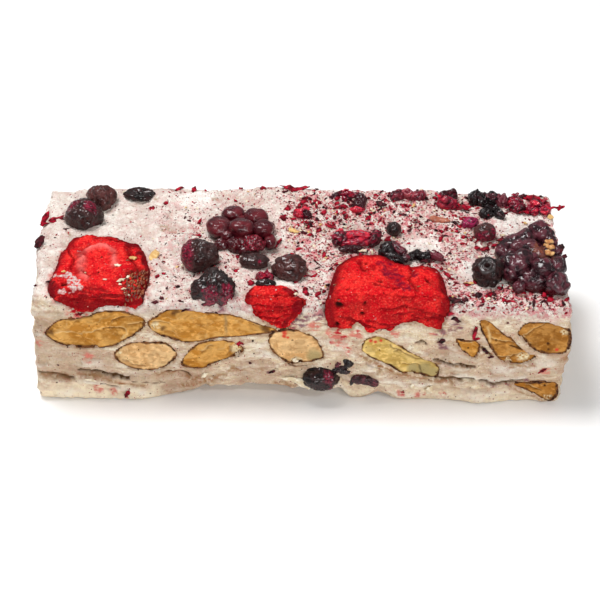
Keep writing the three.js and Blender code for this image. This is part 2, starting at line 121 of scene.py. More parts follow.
# A kernel's seams are paths of (x, z), half widths and depths, which are negative for a raised seam.
front_kernels = [
    dict(
        flesh="golden",
        outline=[(-55.2, 18.4), (-52, 21.7), (-46.4, 22.8), (-43.6, 24), (-39.4, 24.6), (-36, 23.9),
                 (-33.1, 21.8), (-34.6, 18.6), (-38.3, 15.9), (-41, 14.4), (-46, 13.9), (-50.8, 14.3),
                 (-54.2, 16.4)],
        seams=[([(-52.6, 18.4), (-47.5, 18.3), (-44.2, 18.5)], 0.16, -0.2),
               ([(-44.2, 18.5), (-40, 19.6), (-37.6, 18.8)], 0.2, 0.35),
               ([(-37.5, 18.9), (-37.2, 17.6), (-38.6, 16.6)], 0.18, -0.25),
               ([(-40.4, 21.6), (-37, 22.7), (-35, 23)], 0.3, 0.7),
               ([(-36.8, 20.2), (-33.3, 20.5)], 0.16, 0.5), ([(-48.5, 21.2), (-45, 22.2)], 0.2, 0.3)],
        hollows=[(-41.4, 17.4, 2.4)], darks=[(-53.8, 18.2, 0.9)], dots=[(-52.9, 15.9, 0.2)],
    ),
    dict(
        flesh="golden",
        outline=[(-33, 21.4), (-31.2, 23), (-28.4, 24.8), (-25, 25), (-20, 24.5), (-15.9, 24.2), (-12, 23),
                 (-8.6, 21.3), (-4.7, 19.9), (-6.4, 18.7), (-11.6, 17.8), (-18.1, 17), (-24, 15.6),
                 (-28.4, 16.8), (-31.8, 18.5)],
        seams=[([(-16, 24), (-15.8, 21), (-16.1, 17.6)], 0.18, 0.3),
               ([(-31.5, 21.5), (-28, 20.8)], 0.2, 0.3), ([(-14, 23.4), (-8.4, 21)], 0.25, -0.2)],
        chips=[(-31.2, 20.4, 1.0)], hollows=[(-28.2, 19.6, 1.5)],
        darks=[(-29.6, 19.4, 0.8), (-26.8, 23.8, 1.2), (-7.2, 20.2, 1.2)], dots=[(-17.2, 23.6, 0.3)],
    ),
    dict(
        flesh="peach",
        outline=[(-40.6, 12.4), (-39.4, 14.3), (-36.6, 15.9), (-33, 16.1), (-29, 15.9), (-27, 14.2),
                 (-26.6, 12.4), (-28, 10.2), (-30.6, 8.3), (-34, 7.8), (-38.1, 8.9), (-40.1, 10.6)],
        seams=[([(-38.5, 10.6), (-36.5, 9.7), (-34, 9.4)], 0.25, 0.2)], chips=[(-39.4, 12.6, 0.5)],
        hollows=[(-31.2, 13.2, 1.0)], dots=[(-38.9, 14, 0.2)],
    ),
    dict(
        flesh="golden",
        outline=[(-26.2, 9.4), (-25.6, 11.8), (-23.6, 14.5), (-21.5, 16), (-18.1, 16.9), (-15, 16.7),
                 (-12.8, 15.6), (-12, 14.2), (-13.4, 12.4), (-17, 10.9), (-19.4, 9.5), (-21.4, 8.4),
                 (-24, 8.6)],
        seams=[([(-21.4, 13.4), (-19, 14.8)], 0.3, 0.2), ([(-15.3, 15.8), (-14.9, 13.6)], 0.25, 0.5)],
        chips=[(-13.5, 14.2, 1.4)], hollows=[(-19.6, 12.6, 1.4)],
    ),
    dict(
        flesh="peach",
        outline=[(-7, 16.8), (-6.2, 18.9), (-4.2, 19.9), (-1.4, 20.2), (1.4, 19.2), (3.8, 17.4), (5.3, 14.4),
                 (5.4, 12.2), (3.4, 11), (0.6, 10.6), (-2.2, 10.2), (-4.6, 12), (-6.4, 14.2)],
        seams=[([(-5.4, 13), (-4, 11.6)], 0.25, 0.4)], chips=[(-0.7, 11.3, 1.2)], greys=[(3.2, 12.6, 1.8)],
        reds=[(-3.5, 19.6, 0.7), (-3.3, 18.8, 0.55), (-3.4, 18.0, 0.5), (-2.6, 17.7, 0.35)],
        dots=[(-1.6, 16.8, 0.25)],
    ),
    dict(
        flesh="blanched",
        outline=[(13.3, 14), (13.6, 16.4), (15, 18), (17, 18.4), (20, 17.1), (23.5, 14.9), (27.4, 12.3),
                 (30, 10.8), (31.1, 8.8), (29.9, 6.8), (27, 7.5), (24.4, 7.9), (22.4, 7.9), (19.6, 9.9),
                 (16, 11.8)],
        seams=[([(19.4, 15.6), (22.6, 13.4), (26.6, 11.8)], 0.3, 0.25),
               ([(22.4, 10.8), (25.6, 10.4), (26.4, 8.4)], 0.2, 0.5),
               ([(20.6, 13.9), (21.8, 14.2)], 0.2, 0.4)],
        hollows=[(25.3, 9.2, 1.3)], greys=[(24.9, 9.2, 1.3), (27.4, 9, 1.8), (29.4, 8.4, 1.4)],
        reds=[(15.4, 16.9, 0.45), (16.4, 16.6, 0.4), (17.6, 16.9, 0.35)],
        dots=[(27.3, 12, 0.3), (17.4, 14.4, 0.15)],
    ),
    dict(
        flesh="golden",
        outline=[(33.6, 18), (35.6, 17.8), (38, 17.4), (39.3, 16.4), (39.4, 14.4), (38.6, 12.8),
                 (37.3, 12.5), (36.1, 13.8), (34.4, 15.2)],
        seams=[([(34.4, 17.3), (37, 17)], 0.15, -0.2)], dots=[(36.6, 15.2, 0.2)],
    ),
    dict(
        flesh="toasted",
        outline=[(38.4, 22.6), (39.8, 23.3), (42.1, 21.6), (44.4, 19.3), (46.3, 18), (48.2, 15.6), (50, 14),
                 (51.7, 13.8), (51.4, 12.3), (49.4, 11.2), (46.4, 10.8), (43.8, 11.9), (41.9, 14.1),
                 (40.2, 17.6), (38.9, 20.4)],
        seams=[([(41.6, 18.4), (44.6, 16.6), (47.4, 17)], 0.2, 0.3),
               ([(43.4, 12.4), (46.4, 12.6), (48, 13.8)], 0.25, 0.45),
               ([(40.6, 21), (41.4, 17.6)], 0.3, -0.2)],
        chips=[(48.8, 13, 1.2), (45.6, 11.5, 0.8)], hollows=[(46.8, 14.8, 1.5)], dots=[(42.5, 17.6, 0.3)],
    ),
    dict(
        flesh="toasted",
        outline=[(46.9, 19.2), (47.6, 21.4), (49.2, 22.7), (52.4, 22.9), (55.6, 22.1), (58, 20.8),
                 (58.8, 18.6), (58.7, 16), (57.6, 14), (54.3, 13.6), (51.4, 14.5), (49, 16.6)],
        seams=[([(48.2, 18.4), (49.6, 19.6), (51.4, 20.6), (53, 22)], 0.22, 0.35),
               ([(47.6, 17.9), (50, 15.8)], 0.2, 0.3)],
        chips=[(48.3, 17.7, 0.7), (57, 19.4, 0.8)], hollows=[(53.6, 17.6, 3)], reds=[(55.9, 15, 0.4)],
        dots=[(53.9, 16.3, 0.35), (54.1, 14.9, 0.2)],
    ),
    dict(
        flesh="toasted",
        outline=[(46.8, 5.3), (47.8, 6.1), (51, 6.3), (54.2, 6.3), (56.6, 6.1), (57.3, 4.2), (57.3, 1.9),
                 (56, 0.5), (54.2, 0.8), (52, 2.4), (49.4, 3.8)],
        seams=[([(50.4, 5), (53.4, 3.4)], 0.2, 0.3)], chips=[(55, 1.7, 0.9)], dots=[(54.2, 4.9, 0.25)],
    ),
]


def kernel_rows(count, pitch):
    """The kernels of an unseen face, in two staggered rows, as the solids place them."""
    fleshes = ("golden", "peach", "toasted", "golden", "blanched")
    kernels = []
    for i in range(count):
        upper = i % 2 == 0
        x = (i - (count - 1) / 2) * pitch + 1.5 * math.sin(2.1 * i + pitch)
        z = (18.6 if upper else 9.2) + 1.2 * math.cos(2.7 * i)
        kernel = dict(
            middle=(x, z),
            across=(20 if upper else 15.5) + 3 * math.sin(1.7 * i + 1),
            up=7.6 + 0.9 * math.sin(3.1 * i),
            rise=16 * math.sin(2.3 * i + 0.6),
            taper=0.16 * math.sin(1.9 * i + 1.4),
            flesh=fleshes[(i + count) % len(fleshes)],
        )
        kernels.append(kernel)
    return kernels


def smooth(value, low, high):
    """0 below low, 1 above high, and 3t^2 - 2t^3 between them."""
    t = np.clip((value - low) / (high - low), 0, 1)
    return t * t * (3 - 2 * t)


def spread(x, y, z):
    """Three arrays of coordinates, of shapes that fit each other, as one array of places."""
    return np.stack(np.broadcast_arrays(x, y, z), axis=-1).astype(float)


def unit(way):
    """A direction brought to length 1."""
    return np.array(way) / np.linalg.norm(way)


def lumps(places, size, seed):
    """Smooth random heights from -1 to 1: random numbers at the corners of cubes of that size, eased
    from corner to corner by 3t^2 - 2t^3 along each axis."""
    corners = np.random.default_rng(seed).uniform(-1, 1, (32, 32, 32))
    cell = np.floor(places / size).astype(int)
    t = places / size - cell
    t = t * t * (3 - 2 * t)
    height = 0
    for step in np.ndindex(2, 2, 2):
        weight = np.prod(np.where(step, t, 1 - t), axis=-1)
        i, j, k = np.moveaxis((cell + step) % 32, -1, 0)
        height = height + weight * corners[i, j, k]
    return height


def grains(places, size, seed):
    """Cells round random points, one in each cube of that size: the distance to the nearest point and the
    gap to the next nearest, both in cube sizes, and a random number from 0 to 1 for the cell."""
    draws = np.random.default_rng(seed).uniform(0, 1, (32, 32, 32, 4))
    cell = np.floor(places / size).astype(int)
    nearest = np.full(places.shape[:-1], 9.0)
    second = nearest.copy()
    mark = nearest.copy()
    for step in np.ndindex(3, 3, 3):
        corner = cell + step - 1
        i, j, k = np.moveaxis(corner % 32, -1, 0)
        away = np.linalg.norm(places / size - corner - draws[i, j, k, :3], axis=-1)
        mark = np.where(away < nearest, draws[i, j, k, 3], mark)
        second = np.minimum(second, np.maximum(away, nearest))
        nearest = np.minimum(nearest, away)
    return nearest, second - nearest, mark


def spots(x, z, middles):
    """The greatest of some round spots (x, z, radius), each 1 at its middle and 0 beyond 1.4 radii."""
    total = np.zeros(np.broadcast(x, z).shape)
    for at_x, at_z, radius in middles:
        total = np.maximum(total, 1 - smooth(np.hypot(x - at_x, z - at_z) / radius, 0.5, 1.4))
    return total


def crease(x, z, path, width):
    """1 along a path of (x, z) points, falling off as a bell to either side."""
    away = np.full(np.broadcast(x, z).shape, 99.0)
    for (x0, z0), (x1, z1) in zip(path, path[1:]):
        along = ((x - x0) * (x1 - x0) + (z - z0) * (z1 - z0)) / ((x1 - x0) ** 2 + (z1 - z0) ** 2)
        along = np.clip(along, 0, 1)
        away = np.minimum(away, np.hypot(x - x0 - along * (x1 - x0), z - z0 - along * (z1 - z0)))
    return np.exp(-((away / width) ** 2))


def wander(x, z, size, far, seed):
    """Places moved by smooth random steps, so that marks drawn at them come out uneven."""
    here = spread(x, 1.7 * seed, z)
    return x + far * lumps(here, size, seed + 1), z + far * lumps(here, size, seed + 2)


def closed_curve(points, count):
    """Points evenly along a smooth closed curve through the given ones, by the Catmull-Rom cubic."""
    points = np.array(points, float)
    step = np.linspace(0, len(points), count, endpoint=False)
    first = step.astype(int)
    t = (step - first)[:, None]
    before, start, end, after = (points[(first + k) % len(points)] for k in (-1, 0, 1, 2))
    bend = 2 * before - 5 * start + 4 * end - after
    turn = 3 * start - before - 3 * end + after
    return 0.5 * (2 * start + t * (end - before) + t**2 * bend + t**3 * turn)


def outline_gap(x, z, outline):
    """The distance to a closed outline, negative inside it: the nearest of its edges, and whether a ray
    from the place meets an odd number of them."""
    start, edge = outline, np.roll(outline, -1, axis=0) - outline
    place = np.stack([x, z], axis=-1)[..., None, :]
    part = np.clip(((place - start) * edge).sum(-1) / (edge**2).sum(-1), 0, 1)
    away = np.linalg.norm(place - start - part[..., None] * edge, axis=-1).min(-1)
    crosses = (start[:, 1] > z[..., None]) != (start[:, 1] + edge[:, 1] > z[..., None])
    meets = start[:, 0] + (z[..., None] - start[:, 1]) * edge[:, 0] / np.where(edge[:, 1] == 0, 1, edge[:, 1])
    inside = (crosses & (x[..., None] < meets)).sum(-1) % 2
    return np.where(inside, -away, away)


def kernel_outline(kernel, count=120):
    """The outline of a kernel's cut: a smooth curve through its points, or else an ellipse narrowed to one
    tip and turned by its rise."""
    if "outline" in kernel:
        return closed_curve(kernel["outline"], count)
    angle = np.linspace(0, 2 * math.pi, count, endpoint=False)
    x, taper, rise = np.cos(angle), kernel["taper"], math.radians(kernel["rise"])
    z = np.sin(angle) * kernel["up"] / 2 * (1 - taper * x * (1 + np.maximum(x * np.sign(taper), 0)))
    x = x * kernel["across"] / 2
    turned = [x * math.cos(rise) - z * math.sin(rise), x * math.sin(rise) + z * math.cos(rise)]
    return np.stack(turned, axis=-1) + kernel["middle"]


kernel_faces = {
    "front": dict(turn=0, half=bar_width / 2, kernels=front_kernels),
    "right": dict(turn=90, half=bar_length / 2 + belly_depth / 2, kernels=kernel_rows(2, 13)),
    "back": dict(turn=180, half=bar_width / 2, kernels=kernel_rows(8, 13)),
    "left": dict(turn=-90, half=bar_length / 2, kernels=kernel_rows(2, 15)),
}


def skin(rings, first=None, last=None):
    """A closed skin: quads from each ring of points to the next, and a fan from each end ring to its pole,
    which is the ring's middle unless it is given."""
    count, around = rings.shape[:2]
    first = rings[0].mean(axis=0) if first is None else first
    last = rings[-1].mean(axis=0) if last is None else last
    points = np.vstack([rings.reshape(-1, 3), [first], [last]])
    here = np.arange(count * around).reshape(count, around)
    beside = np.roll(here, -1, axis=1)
    quads = np.stack([here[:-1], beside[:-1], beside[1:], here[1:]], axis=-1).reshape(-1, 4)
    start = np.stack([beside[0], here[0], np.full(around, count * around)], axis=-1)
    end = np.stack([here[-1], beside[-1], np.full(around, count * around + 1)], axis=-1)
    caps = np.vstack([start, end])
    corners = points[np.vstack([quads[:, :3], quads[:, [0, 2, 3]], caps])]
    corners = corners - points.mean(axis=0)
    volume = np.einsum("ij,ij->", corners[:, 0], np.cross(corners[:, 1], corners[:, 2]))
    return (points, quads, caps) if volume > 0 else (points, quads[:, ::-1], caps[:, ::-1])


def at_points(rings_field, first=0.0, last=0.0):
    """A field on the rings and its values at the two poles, held from 0 to 1, as skin() numbers points."""
    return np.clip(np.concatenate([np.ravel(rings_field), [first, last]]), 0, 1)


def solid_corners(node):
    """The low and the high corner of a solid's box, in millimetres."""
    return (np.array(corner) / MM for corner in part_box(node))


def make_piece(name, skins, material, slot, replaced=(), **fields):
    """One object from a list of skins, with its named values at each point, riding on the bar."""
    starts = np.cumsum([0] + [len(points) for points, _, _ in skins])
    faces = []
    for start, (_, quads, caps) in zip(starts, skins):
        faces += (quads + start).tolist() + (caps + start).tolist()
    mesh = bpy.data.meshes.new(name)
    mesh.from_pydata(np.vstack([points for points, _, _ in skins]) * MM, [], faces)
    mesh.shade_smooth()
    for field, values in fields.items():
        attribute = mesh.attributes.new(field, "FLOAT", "POINT")
        attribute.data.foreach_set("value", np.ravel(values).astype(np.float32))
    mesh.materials.append(material)
    piece = bpy.data.objects.new(name, mesh)
    bpy.context.scene.collection.objects.link(piece)
    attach(piece, "root")
    if replaced:
        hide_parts(*replaced)
    return piece


class Finish:
    """A material on the Principled shader, with short ways to add nodes. Scales are in millimetres."""

    def __init__(self, name, roughness, specular, coat=(0.0, 0.03)):
        self.material = bpy.data.materials.new(name)
        self.material.use_nodes = True
        self.tree = self.material.node_tree
        self.shader = self.tree.nodes["Principled BSDF"]
        self.shader.inputs["Roughness"].default_value = roughness
        self.shader.inputs["Specular IOR Level"].default_value = specular
        self.shader.inputs["Coat Weight"].default_value = coat[0]
        self.shader.inputs["Coat Roughness"].default_value = coat[1]
        self.place = self.add("ShaderNodeTexCoord").outputs["Object"]

    def add(self, kind, fills=(), **settings):
        """A node of that kind, its properties set, its sockets filled with values or links."""
        node = self.tree.nodes.new(kind)
        for setting, value in settings.items():
            setattr(node, setting, value)
        for socket, value in dict(fills).items():
            if isinstance(value, bpy.types.NodeSocket):
                self.tree.links.new(value, node.inputs[socket])
            else:
                node.inputs[socket].default_value = value
        return node

    def field(self, name):
        """The value that the mesh holds at each point under that name."""
        return self.add("ShaderNodeAttribute", attribute_name=name).outputs["Fac"]

    def noise(self, size, detail=3.0, stretch=(1, 1, 1), swirl=0.0):
        """Soft noise from 0 to 1, with lumps of that size, drawn out along each axis by stretch."""
        scale = tuple(1 / (size * MM * s) for s in stretch)
        spot = self.add("ShaderNodeMapping", {"Vector": self.place, "Scale": scale}).outputs[0]
        fills = {"Vector": spot, "Scale": 1.0, "Detail": detail, "Distortion": swirl}
        return self.add("ShaderNodeTexNoise", fills).outputs["Fac"]

    def cells(self, size):
        """The distance from the middle of each random cell, in cell sizes, and a random number for it."""
        node = self.add("ShaderNodeTexVoronoi", {"Vector": self.place, "Scale": 1 / (size * MM)})
        mark = self.add("ShaderNodeSeparateColor", {"Color": node.outputs["Color"]}).outputs["Red"]
        return node.outputs["Distance"], mark

    def ramp(self, value, low, high, start=0.0, end=1.0):
        """The value eased from start at low to end at high."""
        fills = {"Value": value, "From Min": low, "From Max": high, "To Min": start, "To Max": end}
        return self.add("ShaderNodeMapRange", fills, interpolation_type="SMOOTHSTEP").outputs["Result"]

    def math(self, operation, a, b=0.0):
        """One sum on two values."""
        return self.add("ShaderNodeMath", {0: a, 1: b}, operation=operation).outputs[0]

    def mix(self, factor, low, high):
        """One colour laid over another by a factor."""
        low, high = ((*c, 1) if isinstance(c, tuple) else c for c in (low, high))
        return self.add("ShaderNodeMix", {0: factor, 6: low, 7: high}, data_type="RGBA").outputs[2]

    def patches(self, size, detail, low, high, start=0.0, end=1.0, stretch=(1, 1, 1), swirl=0.0):
        """Soft noise with lumps of that size, eased from start where it is low to end where it is high."""
        return self.ramp(self.noise(size, detail, stretch, swirl), low, high, start, end)

    def mottle(self, color, tints):
        """Tints laid over a colour in turn, each in soft blotches: (tint, size, detail, the noise at which it
        starts and is full, its strength there), then how the noise is stretched and swirled."""
        for tint, size, detail, low, high, most, *drawn in tints:
            color = self.mix(self.patches(size, detail, low, high, 0, most, *drawn), color, tint)
        return color

    def over(self, name, color, tint, factor=None):
        """A tint laid over a colour as strongly as the mesh's value of that name, times a factor."""
        strength = self.field(name)
        if factor is not None:
            strength = self.math("MULTIPLY", strength, factor)
        return self.mix(strength, color, tint)

    def flecks(self, color, size, radius, share, tint):
        """Small ragged flecks over a colour, in that share of the random cells."""
        away, pick = self.cells(size)
        ragged = self.patches(size * 0.35, 1.0, 0.3, 0.7, -0.5 * radius, 0.5 * radius)
        away = self.math("ADD", away, ragged)
        fleck = self.math("MULTIPLY", self.ramp(away, radius, radius * 0.7),
                          self.math("LESS_THAN", pick, share))
        return self.mix(fleck, color, tint)

    def finish(self, color, heights=(), roughness=None):
        """Joins the colour, the bumps as (height, depth in millimetres) pairs, and the roughness."""
        self.tree.links.new(color, self.shader.inputs["Base Color"])
        normal = None
        for height, depth in heights:
            fills = {"Height": height, "Distance": depth * MM}
            if normal:
                fills["Normal"] = normal
            normal = self.add("ShaderNodeBump", fills).outputs["Normal"]
        if normal:
            self.tree.links.new(normal, self.shader.inputs["Normal"])
        if roughness:
            self.tree.links.new(roughness, self.shader.inputs["Roughness"])
        return self.material


def dimmed(color, share):
    """A colour with each part of its light brought to a share."""
    return tuple(share * part for part in color)


def almond_finish(name, pale, deep):
    """Cut almond flesh, mottled and streaked along the kernel, with a ragged line of brown skin round it."""
    look = Finish(name, 0.5, 0.10)
    flesh = look.mottle(pale, [
        (deep, 3.4, 5, 0.40, 0.60, 1, (1.6, 1.6, 1), 0.6),
        (dimmed(deep, 0.82), 1.7, 4, 0.50, 0.64, 0.7, (1.3, 1.3, 1), 0.8),
        (dimmed(pale, 1.25), 0.9, 4, 0.50, 0.66, 0.7, (1.2, 1.2, 1)),
        (dimmed(deep, 0.55), 0.5, 4, 0.52, 0.70, 0.3, (3, 3, 1)),
    ])
    # Browner toward the outline, and painted shade in the sunken parts of the cut.
    flesh = look.over("toast_and_shade", flesh, dimmed(deep, 0.42), 0.75)
    # Painted highlight: pale on the ledge steps, on raised seams and just above each split.
    flesh = look.over("pale", flesh, (0.78, 0.56, 0.26), 0.7)
    flesh = look.over("grey", flesh, (0.36, 0.29, 0.13), 0.8)
    flesh = look.over("chip", flesh, (0.84, 0.72, 0.46), look.patches(0.6, 3, 0.38, 0.55))
    flesh = look.over("red", flesh, (0.62, 0.06, 0.03))
    flesh = look.flecks(flesh, 1.3, 0.11, 0.45, (0.13, 0.045, 0.012))
    # Browned spots and dark dots, with painted shade in the splits.
    flesh = look.over("dark", flesh, (0.075, 0.024, 0.006))
    skin_line = look.mottle((0.040, 0.012, 0.004), [((0.19, 0.075, 0.025), 0.7, 3, 0.38, 0.6, 1)])
    color = look.over("husk", flesh, skin_line)
    return look.finish(color, [(look.noise(1.1, 4, (1.4, 1.4, 1)), 0.42), (look.noise(0.3), 0.08)])


almond_finishes = {
    "golden": almond_finish("almond_golden", (0.68, 0.36, 0.095), (0.49, 0.20, 0.024)),
    "peach": almond_finish("almond_peach", (0.77, 0.50, 0.24), (0.62, 0.34, 0.13)),
    "blanched": almond_finish("almond_blanched", (0.76, 0.54, 0.19), (0.58, 0.37, 0.09)),
    "toasted": almond_finish("almond_toasted", (0.57, 0.27, 0.062), (0.36, 0.135, 0.015)),
}


def cut_kernel(kernel, face, seed):
    """A halved kernel: rings of its outline shrunk toward its middle, out over the cut face to the rim,
    then in over the dome behind. The cut face is scored, split along its seams and crumbled at its chips."""
    outline = kernel_outline(kernel)
    middle = outline.mean(axis=0)
    tangent = np.roll(outline, -1, axis=0) - np.roll(outline, 1, axis=0)
    tangent = tangent / np.linalg.norm(tangent, axis=-1, keepdims=True)
    spoke = outline - middle
    reach_across = np.abs(spoke[:, 0] * tangent[:, 1] - spoke[:, 1] * tangent[:, 0])
    face_reach = 1 - (1 - np.linspace(0.03, 1, 34)) ** 1.25
    back_reach = np.array([1.0, 0.98, 0.9, 0.7, 0.38])
    back_depth = np.array([0.35, 0.8, 1.9, 3.4, 4.4])
    reach = np.concatenate([face_reach, back_reach])[:, None]
    on_face = np.arange(len(reach))[:, None] < len(face_reach)
    place = middle + reach[..., None] * spoke
    x, z = place[..., 0], place[..., 1]
    spot = spread(x, seed * 7.3, z)

    mark_x, mark_z = wander(*wander(x, z, 1.6, 0.5, seed), 0.7, 0.25, seed + 40)
    chip = spots(mark_x, mark_z, kernel.get("chips", ()))
    hollow = spots(mark_x, mark_z, kernel.get("hollows", ()))
    dots = spots(x, z, kernel.get("dots", ()))
    relief = 0.14 * lumps(spot * (0.2, 1, 1.4), 1.0, 7) + 0.12 * lumps(spot, 2.0, 8)
    relief = relief + 0.06 * lumps(spot, 0.7, 9)
    ledge = smooth(lumps(spot * (0.5, 1, 1), 3.0, 15), -0.06, 0.06)
    ledge = ledge + smooth(lumps(spot * (0.6, 1, 1), 1.8, 16), 0.2, 0.3)
    relief = relief + 0.24 * ledge + 0.35 * hollow + chip * (0.3 + 0.6 * lumps(spot, 0.6, 10)) + 0.3 * dots
    # Painted highlight: pale along the steps of the ledges.
    pale = 0.5 * smooth(ledge, 0.15, 0.5) * (1 - smooth(ledge, 0.5, 0.85))
    browned = 0.8 * spots(mark_x, mark_z, kernel.get("darks", ()))
    dark = dots + browned * smooth(lumps(spot, 0.8, 11), -0.5, 0.3)
    # Painted seams: a raised seam pale as highlight, a split dark as shade with a pale painted line just
    # above it.
    for path, width, depth in kernel.get("seams", ()):
        split = crease(mark_x, mark_z, path, width) * smooth(lumps(spot, 1.1, 17), -1.2, -0.1)
        relief = relief + depth * split
        pale = np.maximum(pale, split if depth < 0 else 0.7 * crease(mark_x, mark_z - 0.4, path, 0.2))
        dark = np.maximum(dark, 0.45 * split if depth > 0 else 0)
    edge = (1 - reach) * reach_across
    relief = relief * smooth(edge, 0.05, 0.6) + 0.12 * (1 - smooth(edge, 0.0, 0.4))
    depth = np.where(on_face, np.maximum(relief, -0.2) - kernel_proud,
                     np.append(0 * face_reach, back_depth)[:, None])

    out = kernel_faces[face]["half"] - depth
    spin = math.radians(kernel_faces[face]["turn"])
    rings = spread(x * math.cos(spin) + out * math.sin(spin), x * math.sin(spin) - out * math.cos(spin), z)
    edge = edge + 0.28 * lumps(spot, 1.4, 12) + 0.15 * lumps(spot, 0.6, 13)
    # Browner toward the outline, and as painted shade in the sunken parts of the cut.
    toast_and_shade = smooth(1.6 - edge + 0.5 * lumps(spot, 2.2, 14), 0.6, 1.9) * 0.6 + 0.4 * smooth(relief, 0.1, 0.5)
    fields = dict(
        husk=at_points(np.where(on_face, 1 - smooth(edge, 0.42, 0.74), 1.0), 0, 1),
        toast_and_shade=at_points(toast_and_shade),
        pale=at_points(pale),
        dark=at_points(dark),
        chip=at_points(chip),
        grey=at_points(spots(x, z, kernel.get("greys", ()))),
        red=at_points(spots(x, z, kernel.get("reds", ()))),
    )
    return skin(rings), fields


for face, details in kernel_faces.items():
    for i, kernel in enumerate(details["kernels"]):
        shape, fields = cut_kernel(kernel, face, seed=3 * i + len(face))
        finish = almond_finishes[kernel["flesh"]]
        make_piece(f"kernel_{face}_{i + 1}", [shape], finish, "almond", [f"almond_{face}_{i + 1}"], **fields)

# ---- strawberries ----
# Thick slices of freeze-dried strawberry, porous and dry, let into the top. The first shows a raised
# pale ring round its core and a bed of seeds; all three are cut through by the knife at the front.

slice_steps = 240  # points round the outline of a slice
keel_recess = 1.6  # how far a slice's lower part keeps behind the knife outside its cut
seeds_in_row = 7

